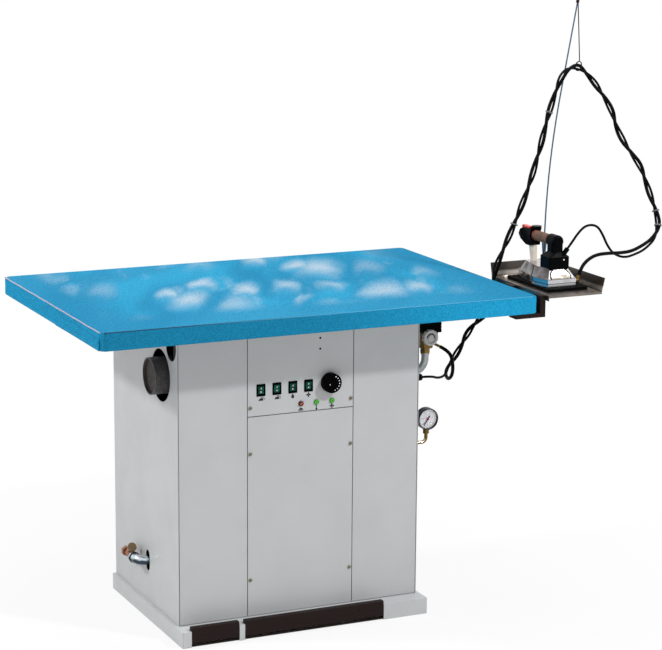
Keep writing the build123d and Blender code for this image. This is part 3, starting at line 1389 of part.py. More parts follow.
def iron_grip():
    """The cork grip, barrel shaped."""
    profile = Plane(origin=(IRON_X, GRIP_START, GRIP_Z), x_dir=(0, 1, 0), z_dir=(1, 0, 0))
    end = GRIP_RADIUS - GRIP_BARREL
    barrel = ThreePointArc((0, end), (GRIP_LENGTH / 2, GRIP_RADIUS), (GRIP_LENGTH, end))
    outline = Curve() + [
        Line((0, 0), (0, end)), barrel,
        Line((GRIP_LENGTH, end), (GRIP_LENGTH, 0)), Line((GRIP_LENGTH, 0), (0, 0)),
    ]
    return revolve(profile * make_face(outline), Axis((IRON_X, GRIP_START, GRIP_Z), (0, 1, 0)))


def iron_head():
    """The black switch head at the grip's front, with its pocket and steam disc."""
    plane = Plane(origin=(IRON_X - HEAD_WIDTH / 2, HEAD_START, GRIP_Z), x_dir=(0, 1, 0), z_dir=(1, 0, 0))
    low = -HEAD_DROP
    outline = Polygon(
        (0, -14), (4, low), (26, low), (58, -17), (70, -4), (62, 10), (44, 17), (0, 19), align=None
    )
    head = extrude(plane * outline, HEAD_WIDTH)
    head = chamfer(head.edges().filter_by(Axis.X).sort_by(Axis.Y)[-2:], 2)
    head += bar((IRON_X, HEAD_START, GRIP_Z), (0, 1, 0), *HEAD_COLLAR)
    shift_x, shift_y = DISC_SHIFT
    foot = (IRON_X + shift_x, HEAD_START + shift_y, GRIP_Z)
    head += bar(foot, (0, 0, 1), DISC_RADIUS / 4, GRIP_RADIUS + DISC_THICKNESS)
    head += bar(along_from(foot, (0, 0, 1), GRIP_RADIUS + 1.5), (0, 0, 1), DISC_RADIUS, DISC_THICKNESS)
    x = IRON_X + BUTTON_SHIFT
    half = BUTTON_WIDTH / 2 + CLEAR
    y0 = HEAD_START + BUTTON_START
    low = GRIP_Z + BUTTON_SEAT
    pocket = block(x - half, x + half, y0 - CLEAR, y0 + BUTTON_LENGTH + CLEAR, low, GRIP_Z + BUTTON_TOP + 6)
    return head - pocket


def iron_button():
    """The red thumb lever, standing proud of the head."""
    x = IRON_X + BUTTON_SHIFT
    half = BUTTON_WIDTH / 2
    y0 = HEAD_START + BUTTON_START
    z0 = GRIP_Z + BUTTON_SEAT + BUTTON_TRAVEL + CLEAR
    button = block(x - half, x + half, y0, y0 + BUTTON_LENGTH, z0, GRIP_Z + BUTTON_TOP)
    button = fillet(button.edges().filter_by(Axis.Z), 4)
    return fillet(button.edges().group_by(Axis.Z)[-1], 3)


def iron_strut():
    """The beige strut from the cover up to the head."""
    y = HEAD_START + STRUT_PLACE
    low = Plane(origin=(IRON_X, y - STRUT_LEAN, COVER_TOP)) * RectangleRounded(*STRUT_FOOT, 3)
    high = Plane(origin=(IRON_X, y, GRIP_Z - HEAD_DROP)) * RectangleRounded(*STRUT_HEAD, 3)
    return loft([low, high])


def iron_fitting():
    """The brass steam inlet at the heel: a stub, an elbow and the hose ferrule."""
    elbow = inlet_elbow()
    up = exit_axis(HOSE_START)
    start = (IRON_X + INLET_DEPTH, elbow[1], elbow[2])
    fitting = bar(start, (1, 0, 0), INLET_RADIUS, elbow[0] - start[0])
    fitting += Pos(*elbow) * Sphere(INLET_BALL)
    fitting += bar(elbow, up, FERRULE_RADIUS, FERRULE - CLEAR)
    place, across, height = FERRULE_NUT
    return fitting + hexagon(along_from(elbow, up, place), up, across, height)


# Rod and cords

def rod_point(z):
    """A point on the rod: upright, then an arc, then straight to the tip."""
    rise = min(max(z - ROD_FREE, 0), ROD_ARC)
    x = ROD_X + ROD_BEND - sqrt(ROD_BEND ** 2 - rise ** 2)
    return x + max(z - ROD_FREE - ROD_ARC, 0) * rod_slope(z), ROD_Y, z


def rod_slope(z):
    """The rod's sideways lean per unit of height."""
    rise = min(max(z - ROD_FREE, 0), ROD_ARC)
    return rise / sqrt(ROD_BEND ** 2 - rise ** 2)


def hose_rod():
    """The spring rod in its tapered socket, screwed to the tray."""
    half_x, half_y, thickness = SOCKET_FOOT
    x1 = ROD_X + SOCKET_RADIUS
    socket = block(ROD_X - half_x, x1, ROD_Y - half_y, ROD_Y + half_y, REST_TOP, REST_TOP + thickness)
    socket += bar((ROD_X, ROD_Y, REST_TOP), (0, 0, 1), SOCKET_RADIUS, SOCKET_TUBE)
    cone = Cone(SOCKET_RADIUS - 0.5, SOCKET_MOUTH, SOCKET_CONE, align=STANDING)
    socket += Pos(ROD_X, ROD_Y, REST_TOP + SOCKET_TUBE) * cone
    low = (ROD_X, ROD_Y, REST_TOP + SOCKET_TUBE + SOCKET_CONE / 2)
    bend = ROD_FREE + ROD_ARC
    curve = ThreePointArc(rod_point(ROD_FREE), rod_point(ROD_FREE + ROD_ARC / 2), rod_point(bend))
    path = Curve() + [Line(low, rod_point(ROD_FREE)), curve, Line(rod_point(bend), rod_point(ROD_TOP))]
    return socket + sweep(Plane(origin=low, z_dir=(0, 0, 1)) * Circle(ROD_RADIUS), path)


def bundle_frame(n):
    """The bundle's direction at a point, and the two directions across it."""
    before = BUNDLE[max(n - 1, 0)]
    after = BUNDLE[min(n + 1, len(BUNDLE) - 1)]
    along = unit(tuple(after[k] - before[k] for k in range(3)))
    across = unit(cross(along, (0, 1, 0)))
    return along, across, cross(across, along)


def ring(n, centre, width, inner, wall):
    """A round band across the bundle's direction at one of its points."""
    along = bundle_frame(n)[0]
    start = along_from(centre, along, -width / 2)
    hole = bar(along_from(start, along, -1), along, inner, width + 2)
    return bar(start, along, inner + wall, width) - hole


def hose_hook():
    """The black wire hanger: a clip on the rod, a wire and an eye round the cords."""
    lean = (rod_slope(HOOK_TOP), 0, 1)
    x, y, z = rod_point(HOOK_TOP)
    clip = bar((x, y, z), lean, ROD_RADIUS + CLIP_WALL, CLIP_LENGTH)
    top = (x, y - ROD_RADIUS - HOOK_RADIUS, z + CLIP_LENGTH / 2)
    eye = along_from(BUNDLE[HOOK_PLACE], bundle_frame(HOOK_PLACE)[1], -EYE_RADIUS - EYE_WALL / 2)
    drop = tuple(top[k] - eye[k] for k in range(3))
    wire = bar(eye, drop, HOOK_RADIUS, sqrt(sum(v * v for v in drop)))
    hole = bar(rod_point(HOOK_TOP - CLIP_LENGTH), lean, ROD_RADIUS + FIT, 3 * CLIP_LENGTH)
    return clip + wire - hole + ring(HOOK_PLACE, BUNDLE[HOOK_PLACE], EYE_WIDTH, EYE_RADIUS, EYE_WALL)


def unit(v):
    """A vector of length one."""
    size = sqrt(v[0] ** 2 + v[1] ** 2 + v[2] ** 2)
    return tuple(c / size for c in v)


def cross(a, b):
    """The cross product of two vectors."""
    return (a[1] * b[2] - a[2] * b[1], a[2] * b[0] - a[0] * b[2], a[0] * b[1] - a[1] * b[0])


def twisted(offset):
    """The bundle's points, each moved off its middle, a quarter turn further each time."""
    points = []
    for n, point in enumerate(BUNDLE):
        along, across, up = bundle_frame(n)
        angle = pi * n / 2
        side = tuple(across[k] * cos(angle) + up[k] * sin(angle) for k in range(3))
        points.append(along_from(point, side, offset))
    return points


def hose_route():
    """The steam hose's corners, from the iron to the valve's barb."""
    return HOSE_START + twisted(TWIST_OFFSET) + HOSE_END


def cable_route():
    """The iron cable's corners, from the iron to the side gland."""
    return CABLE_START + twisted(-TWIST_OFFSET) + CABLE_END


def corner(points, n):
    """The radius of a cord's arc at one of its corners, and its turn."""
    first = tuple(points[n][k] - points[n - 1][k] for k in range(3))
    second = tuple(points[n + 1][k] - points[n][k] for k in range(3))
    size_a = sqrt(sum(v * v for v in first))
    size_b = sqrt(sum(v * v for v in second))
    dot = sum(first[k] * second[k] for k in range(3))
    normal = cross(first, second)
    turn = atan2(sqrt(sum(v * v for v in normal)), dot)
    return 0.45 * min(size_a, size_b) / tan(turn / 2), turn


def arc_middle(points, n):
    """The middle of a cord's arc at one of its corners."""
    radius, turn = corner(points, n)
    back = unit(tuple(points[n - 1][k] - points[n][k] for k in range(3)))
    ahead = unit(tuple(points[n + 1][k] - points[n][k] for k in range(3)))
    inward = unit(tuple(back[k] + ahead[k] for k in range(3)))
    return along_from(points[n], inward, radius / cos(turn / 2) - radius)


def cord(points, radius, name):
    """A free cord: straight runs joined by arcs that fill most of each run."""
    radii = [corner(points, n)[0] for n in range(1, len(points) - 1)]
    path = FilletPolyline(*points, radius=radii)
    tube = sweep(Plane(origin=path @ 0, z_dir=path % 0) * Circle(radius), path)
    print(name, "length", round(path.length), "radii", [round(r) for r in radii])
    print(name, "volume", round(tube.volume), "section times length", round(pi * radius ** 2 * path.length))
    return tube


def cable_ties():
    """White ties drawn round both cords."""
    group = Part()
    for n in TIE_PLACES:
        hose = arc_middle(hose_route(), n + len(HOSE_START))
        cable = arc_middle(cable_route(), n + len(CABLE_START))
        across = unit(tuple(hose[k] - cable[k] for k in range(3)))
        outer = along_from(hose, across, HOSE_RADIUS)
        inner = along_from(cable, across, -CABLE_RADIUS)
        span = tuple(outer[k] - inner[k] for k in range(3))
        centre = tuple((outer[k] + inner[k]) / 2 for k in range(3))
        group += ring(n, centre, TIE_WIDTH, sqrt(sum(v * v for v in span)) / 2 + TIE_PLAY, TIE_WALL)
    return group


def build():
    """Make and write every piece."""
    os.makedirs("parts", exist_ok=True)
    save("plinth_base", plinth_base())
    save("pedal_frame", pedal_frame())
    save("pedal_left", pedal(*pedal_spans()[0]))
    save("pedal_right", pedal_right())
    save("inner_frame", inner_frame())
    save("side_panel_left", side_panel_left())
    save("side_panel_right", side_panel_right())
    save("front_panel_left", front_panel(-1))
    save("front_panel_right", front_panel(1))
    save("control_panel", control_panel())
    save("service_panel", service_panel())
    save("rear_panel", rear_panel())
    save("panel_screws", panel_screws())
    save("switch_frames", switch_frames())
    for n, x in enumerate(switch_xs()):
        save("rocker_" + str(n + 1), rocker(x))
    save("dial_knob", dial_knob())
    save("thermostat_body", thermostat_body())
    save("pilot_lamps", pilot_lamps())
    save("exhaust_spigot", exhaust_spigot())
    save("fan_volute", fan_volute())
    save("fan_impeller", fan_impeller())
    save("fan_motor", fan_motor())
    save("boiler", boiler())
    save("safety_valve", safety_valve())
    save("steam_pipe", steam_pipe())
    save("steam_valve", steam_valve())
    save("solenoid_coil", solenoid_coil())
    save("steam_knob", steam_knob())
    save("gauge_case", gauge_case())
    save("gauge_glass", gauge_glass())
    save("gauge_needle", gauge_needle())
    save("gauge_pipe", gauge_pipe())
    save("drain_pipe", drain_pipe())
    save("drain_valve", drain_valve())
    save("drain_wheel", drain_wheel())
    save("water_tank", water_tank())
    save("feed_pump", feed_pump())
    save("cable_glands", cable_glands())
    save("table_plenum", table_plenum())
    save("suction_plate", suction_plate())
    save("foam_pad", foam_pad())
    save("cloth_cover", cloth_cover())
    save("rest_bracket", rest_bracket())
    save("rest_tray", rest_tray())
    save("rest_mat", rest_mat())
    save("iron_sole", iron_sole())
    save("iron_cover", iron_cover())
    save("iron_handle", iron_tower() + iron_head())
    save("iron_grip", iron_grip())
    save("iron_button", iron_button())
    save("iron_strut", iron_strut())
    save("iron_fitting", iron_fitting())
    save("hose_rod", hose_rod())
    save("hose_hook", hose_hook())
    save("steam_hose", cord(hose_route(), HOSE_RADIUS, "hose"))
    save("iron_cable", cord(cable_route(), CABLE_RADIUS, "cable"))
    save("cable_ties", cable_ties())


build()
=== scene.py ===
# Finished look of a vacuum ironing table with its steam iron, hose rod and side rest.
# Every size is in metres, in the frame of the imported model. The points of the two cords
# are in millimetres.
import math

import bmesh
import bpy
from bpy.props import FloatProperty, FloatVectorProperty, PointerProperty
from mathutils import Matrix, Vector, noise


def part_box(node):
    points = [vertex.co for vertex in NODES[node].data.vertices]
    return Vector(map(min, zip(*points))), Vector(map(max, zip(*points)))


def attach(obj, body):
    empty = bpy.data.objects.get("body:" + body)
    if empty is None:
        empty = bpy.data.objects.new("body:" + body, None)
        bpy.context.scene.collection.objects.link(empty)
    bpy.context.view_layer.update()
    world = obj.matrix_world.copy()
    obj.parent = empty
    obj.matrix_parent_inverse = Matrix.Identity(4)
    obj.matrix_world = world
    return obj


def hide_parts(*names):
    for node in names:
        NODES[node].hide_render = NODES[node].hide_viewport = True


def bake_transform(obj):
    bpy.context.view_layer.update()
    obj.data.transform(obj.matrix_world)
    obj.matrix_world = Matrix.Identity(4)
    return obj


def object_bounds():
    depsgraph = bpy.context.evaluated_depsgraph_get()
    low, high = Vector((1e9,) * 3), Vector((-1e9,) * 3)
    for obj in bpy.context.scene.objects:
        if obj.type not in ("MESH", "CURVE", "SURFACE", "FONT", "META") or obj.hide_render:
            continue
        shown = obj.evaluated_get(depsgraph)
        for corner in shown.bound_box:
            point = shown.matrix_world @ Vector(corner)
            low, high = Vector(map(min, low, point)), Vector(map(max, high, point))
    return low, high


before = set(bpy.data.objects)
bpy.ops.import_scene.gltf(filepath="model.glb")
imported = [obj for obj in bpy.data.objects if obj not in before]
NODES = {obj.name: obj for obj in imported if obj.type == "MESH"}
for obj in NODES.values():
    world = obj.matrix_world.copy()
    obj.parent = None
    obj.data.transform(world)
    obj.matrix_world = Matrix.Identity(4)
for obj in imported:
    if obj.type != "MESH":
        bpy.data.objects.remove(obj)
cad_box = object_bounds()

bl_info = {
    "name": "Vacuum Ironing Table",
    "version": (1, 0, 0),
    "blender": (4, 5, 0),
    "location": "View3D > Sidebar > Ironing Table",
    "description": "Dresses the packed ironing table with cloth, cords, marks and finishes",
    "category": "Object",
}


def span(node):
    """Lowest corner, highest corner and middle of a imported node."""
    low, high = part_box(node)
    return low, high, (low + high) / 2


# Places of imported nodes, and where the painted reflections on the iron's cover and its tray
# change.
COVER_LOW, COVER_HIGH, COVER_MIDDLE = span("cloth_cover")
FOAM_LOW, FOAM_HIGH, _ = span("foam_pad")
PANEL_FRONT = span("control_panel")[0].y
DIAL_MIDDLE = span("dial_knob")[2]
GAUGE_LOW, GAUGE_HIGH, GAUGE_MIDDLE = span("gauge_case")
SHELL_LOW, SHELL_HIGH, SHELL_MIDDLE = span("iron_cover")
SHELL_NOSE = SHELL_HIGH.y - 0.055
SHELL_SHADE = (SHELL_MIDDLE.z * 6.0 + 0.3, SHELL_HIGH.z * 6.0 + 0.6)
TRAY_FLOOR = span("rest_mat")[0].z
HEEL_FOOT = SHELL_LOW.z + 0.013
LAMP_PITCH = 0.0465
LAMP_MIDDLE = span("pilot_lamps")[2].z
OUTLET_MIDDLE = tuple(span("exhaust_spigot")[2])
OUTLET_RADIUS = span("exhaust_spigot")[1].z - OUTLET_MIDDLE[2]

# Routes of the two cords, as control points of their smooth lines, in millimetres.
MM = 0.001
BUNDLE = (
    (1071, -275, 999), (1110, -266, 1021), (1132, -254, 1056), (1130, -239, 1097),
    (1121, -224, 1139), (1111, -210, 1181), (1100, -196, 1222), (1076, -184, 1259),
    (1054, -171, 1297), (1038, -157, 1337), (1031, -142, 1379), (1013, -129, 1418),
    (992, -116, 1454), (968, -106, 1486), (934, -109, 1510), (895, -114, 1506),
    (868, -117, 1473), (852, -118, 1428), (837, -118, 1382), (823, -117, 1336),
    (812, -116, 1289), (801, -114, 1243), (788, -113, 1197), (771, -112, 1152),
    (753, -111, 1107), (735, -110, 1062), (715, -110, 1018), (692, -111, 976),
    (673, -113, 934), (667.5, -114, 893), (673, -118, 848), (646, -127, 815),
    (614, -134, 799), (588, -140, 779), (567, -144, 754), (549, -146, 727),
    (531, -147, 700),
)
HOSE_START = (
    (819, -335.5, 945.5), (828, -333, 966), (852, -325, 985), (886, -315, 996),
    (930, -305, 996), (976, -295, 992), (1023, -285, 992),
)
HOSE_END = (
    (511, -144, 673), (494, -156, 651.5), (487.5, -189, 641.5), (484, -221.5, 664),
    (482, -226, 700), (480.5, -207.5, 729), (459, -189, 741),
)
CABLE_START = (
    (781, -321.5, 1012.5), (801, -320, 1035), (826, -316, 1064), (854, -311, 1083),
    (893, -304, 1079), (919, -294, 1050), (942, -285, 1013), (968, -280, 986),
    (1006, -277, 973), (1044, -275, 981),
)
CABLE_END = (
    (507, -158, 680), (486, -174, 652), (448, -203, 653), (414, -225, 667),
    (378, -225, 667),
)
TWIST_OFFSET = 7.2
QUARTER = math.pi / 2

# Cords: whole lengths, and corners of their section.
HOSE_LENGTH = 2.11
CABLE_LENGTH = 2.16
CORD_SIDES = 16

# Camera measured from the photograph: place, heading, downward tilt, roll, lens and the
# width of its sensor in millimetres, and how far it sees.
CAMERA_PLACE = (-2.45542, -5.76769, 2.12193)
CAMERA_HEADING = 0.4324
CAMERA_TILT = 0.2071
CAMERA_ROLL = 0.0070
CAMERA_LENS = 123.735
CAMERA_SENSOR = 36.0
CAMERA_REACH = 60.0

# Studio: strength of the world as a light, glow of the floor near the table, the floor's
# radius and how far it lies below, then place, target, size and power of each lamp.
WORLD_LEVEL = 0.42
FLOOR_GLOW = 0.86
FLOOR_RADIUS = 9.0
FLOOR_DROP = 0.0005
LAMPS = (
    ("key_lamp", (3.4, -4.5, 5.6), (0.0, -0.2, 0.6), 0.5, 285.0),
    ("side_lamp", (-4.6, 1.4, 4.2), (-0.2, 0.0, 0.5), 0.5, 150.0),
    ("top_lamp", (0.2, 0.4, 5.0), (0.0, 0.0, 0.9), 3.0, 45.0),
)

# Print of the cover: radians of weave per metre, then the slant of the clouds, how much
# they are drawn out, their stir and their scatter. Each layer has its centres per metre,
# a puff's radius, its soft border and the shift of the pattern.
WEAVE = 5200.0
CLOUD_TURN = 0.43
CLOUD_DEPTH = 0.31
CLOUD_STIR = 0.044
CLOUD_SCATTER = 0.7
CLOUD_LAYERS = (
    (5.0, 0.048, 0.044, (3.1, 5.3, 0.0)),
    (8.0, 0.028, 0.032, (7.7, 1.9, 0.0)),
)

# Shape of the cover: how far in from its border the waves are whole, waves per metre in x
# and y, fold of the hem, depth of the drawn-in sides, how far piping and seam lie in from
# side and top, then the lap at its left end, with its top and rear as points in y and z.
WAVE_BORDER = 0.09
WAVES = (3.1, 4.3)
HEM_FOLD = 0.003
SIDE_PULL = 0.0012
PIPING_INSET = (0.0026, 0.0018)
SEAM_INSET = (0.0022, 0.0016)
SEAM_RADIUS = 0.0011
LAP_THICKNESS = 0.0009
LAP_TOP = ((-0.386, 0.8905), (-0.27, 0.8935), (-0.14, 0.8985), (-0.043, 0.9005))
LAP_REAR = ((-0.043, 0.9005), (-0.018, 0.893), (-0.012, 0.876), (-0.030, 0.860))
LAP_FOOT = 0.8608
LAP_ROWS = 9

# Clearance between the foam slab and the cover's sides.
FOAM_INSET = 0.0006

# How deep a mark is sunk in its face, and how far before a face a line starts that
# looks for it.
SINK = 0.0002
LEAD = 0.05

# Marks of the panel: those on the rockers, the drawings under switches and lamps, dark
# discs of painted shade in two small holes, screws with painted shade in their slots, and the
# dial's dots with their ring's radius and two angles.
ROCKERS = ("rocker_1", "rocker_2", "rocker_3", "rocker_4")
ROCKER_MARK = 0.0052
SIGN_DROP = 0.0258
SIGN_SCALE = 1.8
LAMP_PLACES = (0.0, LAMP_PITCH, 2 * LAMP_PITCH)
LAMP_SIGN_Z = 0.6195
HOLE_SHADE_X = 0.057
HOLE_SHADE_ZS = (0.783, 0.813)
HOLE_SHADE_RADIUS = 0.0030
SCREW_X = 0.150
SCREW_ZS = (0.1495, 0.507, 0.6355)
SLOT_REACH = (0.0032, 0.0018)
SLOT_WIDTH = 0.0018
DIAL_DOTS = 7
DIAL_RING = 0.0205
DIAL_ANGLES = (62, -70)

# Pressure gauge: margin round its face, heights of face and print, then the steps of its
# scale, the angles of its ends, and the ends of strokes and spots as shares of the
# radius. Every fifth stroke is long and red, and the last ones are red too.
FACE_MARGIN = 0.0035
FACE_THICKNESS = 0.0003
PRINT_HEIGHT = 0.00042
SCALE_STEPS = 25
SCALE_ANGLES = (225, -45)
SCALE_OUTER = 0.9
SCALE_LONG = 0.72
SCALE_SHORT = 0.82
SCALE_DOTS = 0.56
LONG_EVERY = 5
RED_AFTER = 17

# Trim of the iron: the arched plate's shift, half width and height, how far above its foot
# the heel's slope is taken, the screw's place from the middle and the top of the cover,
# and the ring's section, going to the grip's end.
ARCH_SHIFT = -0.0015
ARCH_SIZE = (0.0315, 0.0325)
ARCH_TOUCH = 0.018
SCREW_PLACE = (0.013, 0.024)
RING_BACK = (0.0085, 0.0072, 0.002, 0.0002)
RING_SHARES = (0.90, 1.0, 1.0, 0.94)

# Painted shadow in the dish of the steam knob, as a dark arc: its radii and its angles.
KNOB_SHADE_RADII = (0.0095, 0.0130)
KNOB_ANGLES = (-15, 180)

# Gauze behind the louvres: middle and half width of each piece, its lowest and highest
# edge, its rounded corners, its thickness and its folded rim.
GAUZE_MIDDLE = 0.190
GAUZE_HALF = 0.088
GAUZE_EDGES = (0.548, 0.748)
GAUZE_CORNER = 0.006
GAUZE_THICKNESS = 0.0006
GAUZE_RIM = 0.0012


def srgb(red, green, blue):
    """Linear colour of screen values from 0 to 255."""
    out = []
    for value in (red, green, blue):
        part = value / 255
        out.append(part / 12.92 if part <= 0.04045 else ((part + 0.055) / 1.055) ** 2.4)
    return (out[0], out[1], out[2], 1.0)


class Wire:
    """One output of a shader node, used in plain arithmetic."""

    def __init__(self, nodes, socket):
        self.nodes = nodes
        self.socket = socket

    def __add__(self, other):
        return self.nodes.maths("ADD", self, other)

    __radd__ = __add__

    def __sub__(self, other):
        return self.nodes.maths("SUBTRACT", self, other)

    def __rsub__(self, other):
        return self.nodes.maths("SUBTRACT", other, self)

    def __mul__(self, other):
        return self.nodes.maths("MULTIPLY", self, other)

    def __truediv__(self, other):
        return self.nodes.maths("DIVIDE", self, other)

    def __gt__(self, other):
        return self.nodes.maths("GREATER_THAN", self, other)


class Nodes:
    """Shader nodes of a material or of the world."""

    def __init__(self, owner, output):
        owner.use_nodes = True
        self.owner = owner
        self.tree = owner.node_tree
        self.tree.nodes.clear()
        self.output = self.node(output, {}, {})

    def node(self, kind, settings, inputs):
        """Adds a node: its settings first, then the values or links of its sockets."""
        made = self.tree.nodes.new(kind)
        for key, value in settings.items():
            setattr(made, key, value)
        for key, value in inputs.items():
            socket = made.inputs[key]
            if isinstance(value, Wire):
                self.tree.links.new(value.socket, socket)
            else:
                socket.default_value = value
        return made

    def out(self, made, key=0):
        return Wire(self, made.outputs[key])

    def close(self, shader):
        """Links the last shader to the output."""
        self.tree.links.new(shader.outputs[0], self.output.inputs[0])

    def maths(self, operation, *values):
        inputs = dict(enumerate(values))
        return self.out(self.node("ShaderNodeMath", {"operation": operation}, inputs))

    def ramp(self, value, low, high, start=0.0, end=1.0):
        """A smooth rise from start to end as the value goes from low to high."""
        settings = {"interpolation_type": "SMOOTHSTEP"}
        inputs = {0: value, 1: low, 2: high, 3: start, 4: end}
        return self.out(self.node("ShaderNodeMapRange", settings, inputs))

    def seen(self):
        """One for what is seen directly, mirrored or through glass, nought for its light."""
        path = self.node("ShaderNodeLightPath", {}, {})
        rays = self.out(path, "Is Camera Ray") + self.out(path, "Is Glossy Ray")
        return self.maths("MINIMUM", rays + self.out(path, "Is Transmission Ray"), 1.0)


class Paint(Nodes):
    """A node material, with short calls for the nodes that its finish needs."""

    def __init__(self, name):
        super().__init__(bpy.data.materials.new(name), "ShaderNodeOutputMaterial")
        self.place = None

    def vector(self, operation, *values, key=0):
        inputs = dict(enumerate(values))
        made = self.node("ShaderNodeVectorMath", {"operation": operation}, inputs)
        return self.out(made, key)

    def mix(self, factor, first, second, blend="MIX"):
        """Colour between two colours."""
        settings = {"data_type": "RGBA", "blend_type": blend}
        return self.out(self.node("ShaderNodeMix", settings, {0: factor, 6: first, 7: second}), 2)

    def point(self):
        """Place on the piece, in metres, which moves with it."""
        if self.place is None:
            self.place = self.out(self.node("ShaderNodeTexCoord", {}, {}), "Object")
        return self.place

    def axes(self, point=None):
        made = self.node("ShaderNodeSeparateXYZ", {}, {0: point or self.point()})
        return self.out(made, 0), self.out(made, 1), self.out(made, 2)

    def stretched(self, scale):
        """The place, with each axis scaled."""
        return self.vector("MULTIPLY", self.point(), scale)

    def noise(self, scale, detail=3.0, roughness=0.55, point=None):
        inputs = {"Scale": scale, "Detail": detail, "Roughness": roughness}
        inputs["Vector"] = point or self.point()
        return self.out(self.node("ShaderNodeTexNoise", {}, inputs))

    def cells(self, scale, feature="F1", point=None, randomness=1.0, key="Distance", size="3D"):
        inputs = {"Scale": scale, "Randomness": randomness}
        inputs["Vector"] = point or self.point()
        settings = {"voronoi_dimensions": size, "feature": feature}
        return self.out(self.node("ShaderNodeTexVoronoi", settings, inputs), key)

    def bump(self, height, strength, distance, normal=None):
        inputs = {"Strength": strength, "Distance": distance, "Height": height}
        if normal is not None:
            inputs["Normal"] = normal
        return self.out(self.node("ShaderNodeBump", {}, inputs))

    def facing(self):
        """Direction in which the surface looks, as its three parts."""
        geometry = self.node("ShaderNodeNewGeometry", {}, {})
        return self.axes(self.out(geometry, "Normal"))

    def finish(self, colour, roughness, normal=None, metallic=0.0, **sockets):
        """Closes the material with a principled shader."""
        inputs = {"Base Color": colour, "Roughness": roughness, "Metallic": metallic}
        if normal is not None:
            inputs["Normal"] = normal
        for key, value in sockets.items():
            inputs[key.replace("_", " ").title().replace("Ior", "IOR")] = value
        self.close(self.node("ShaderNodeBsdfPrincipled", {}, inputs))
        return self.owner


def tinted(colour, factor):
    """The same colour, lighter or darker."""
    return tuple(min(1.0, channel * factor) for channel in colour[:3]) + (1.0,)


def powder_coat(name, colour, roughness=0.42, peel=0.25, shine=0.5, top_highlight=1.0):
    """Baked paint on sheet steel: orange peel, faint clouding, marks, and a painted highlight on
    faces that look up.
    """
    paint = Paint(name)
    cloud = paint.noise(6.0, 4.0)
    speck = paint.noise(900.0, 2.0)
    tone = paint.mix(paint.ramp(cloud, 0.3, 0.7), tinted(colour, 0.965), tinted(colour, 1.02))
    tone = paint.mix(paint.ramp(speck, 0.62, 0.75) * 0.35, tone, tinted(colour, 0.9))
    # Painted highlight: faces that look up take the colour scaled by top_highlight.
    tone = paint.mix(paint.ramp(paint.facing()[2], 0.5, 0.9), tone, tinted(colour, top_highlight))
    skin = paint.noise(420.0, 2.0, 0.5)
    handling = paint.noise(14.0, 5.0, 0.65)
    rough = paint.ramp(handling, 0.3, 0.75, roughness - 0.05, roughness + 0.08)
    normal = paint.bump(skin, peel, 0.0004)
    return paint.finish(tone, rough, normal, specular_ior_level=shine)


def zinc(name, colour, spangle=60.0, roughness=0.4):
    """Galvanised steel: crystal spangle with duller and brighter grains."""
    paint = Paint(name)
    grain = paint.cells(spangle, key="Color")
    value = paint.vector("DOT_PRODUCT", grain, (0.4, 0.3, 0.3), key="Value")
    fine = paint.noise(spangle * 9.0, 3.0)
    tone = paint.mix(value, tinted(colour, 0.78), tinted(colour, 1.16))
    tone = paint.mix(paint.ramp(fine, 0.45, 0.7) * 0.3, tone, tinted(colour, 0.7))
    rough = roughness - 0.1 + value * 0.18 + fine * 0.06
    normal = paint.bump(fine + value * 0.5, 0.18, 0.0006)
    return paint.finish(tone, rough, normal, 0.85)


def brushed(name, colour, along, roughness=0.3):
    """Steel sheet brushed along one axis, with soft stains."""
    paint = Paint(name)
    scale = [1500.0, 1500.0, 1500.0]
    scale["xyz".index(along)] = 12.0
    lines = paint.noise(1.0, 4.0, 0.7, paint.stretched(tuple(scale)))
    stain = paint.noise(16.0, 4.0, 0.6)
    tone = paint.mix(lines, tinted(colour, 0.82), tinted(colour, 1.14))
    tone = paint.mix(paint.ramp(stain, 0.5, 0.8) * 0.35, tone, tinted(colour, 0.6))
    rough = paint.ramp(lines, 0.25, 0.8, roughness - 0.07, roughness + 0.12) + stain * 0.05
    normal = paint.bump(lines, 0.12, 0.0003)
    return paint.finish(tone, rough, normal, 1.0)


def cast_metal(name, colour, metallic=0.9, roughness=0.42, grain=380.0):
    """Sand cast or forged metal with a pebbled skin and darker hollows."""
    paint = Paint(name)
    pebbles = paint.noise(grain, 4.0, 0.6)
    patina = paint.noise(45.0, 4.0, 0.6)
    tone = paint.mix(paint.ramp(patina, 0.35, 0.7), tinted(colour, 1.1), tinted(colour, 0.66))
    tone = paint.mix(paint.ramp(pebbles, 0.55, 0.8) * 0.4, tone, tinted(colour, 0.55))
    rough = paint.ramp(patina, 0.3, 0.75, roughness - 0.08, roughness + 0.14)
    normal = paint.bump(pebbles, 0.3, 0.0005)
    return paint.finish(tone, rough, normal, metallic)


def polished(name, colour, roughness=0.09):
    """Polished plated metal with wiping marks and a faint haze."""
    paint = Paint(name)
    haze = paint.noise(28.0, 5.0, 0.65)
    hairs = paint.noise(1.0, 3.0, 0.7, paint.stretched((900.0, 60.0, 700.0)))
    tone = paint.mix(haze, tinted(colour, 0.9), tinted(colour, 1.06))
    rough = paint.ramp(haze, 0.35, 0.75, roughness - 0.04, roughness + 0.1) + hairs * 0.04
    normal = paint.bump(hairs, 0.04, 0.0002)
    return paint.finish(tone, rough, normal, 1.0)


def heel_sheet(name, bright, dusk):
    """Bright arched sheet with smeared darker reflections near its foot."""
    paint = Paint(name)
    smear = paint.noise(1.0, 3.0, 0.6, paint.stretched((70.0, 160.0, 210.0)))
    foot = 1.0 - paint.ramp(paint.axes()[2], HEEL_FOOT, HEEL_FOOT + 0.020)
    share = paint.ramp(smear + foot * 0.16, 0.46, 0.66)
    tone = paint.mix(share, bright, dusk)
    rough = paint.ramp(smear, 0.3, 0.75, 0.2, 0.36)
    return paint.finish(tone, rough, paint.bump(smear, 0.1, 0.0004), 0.9)


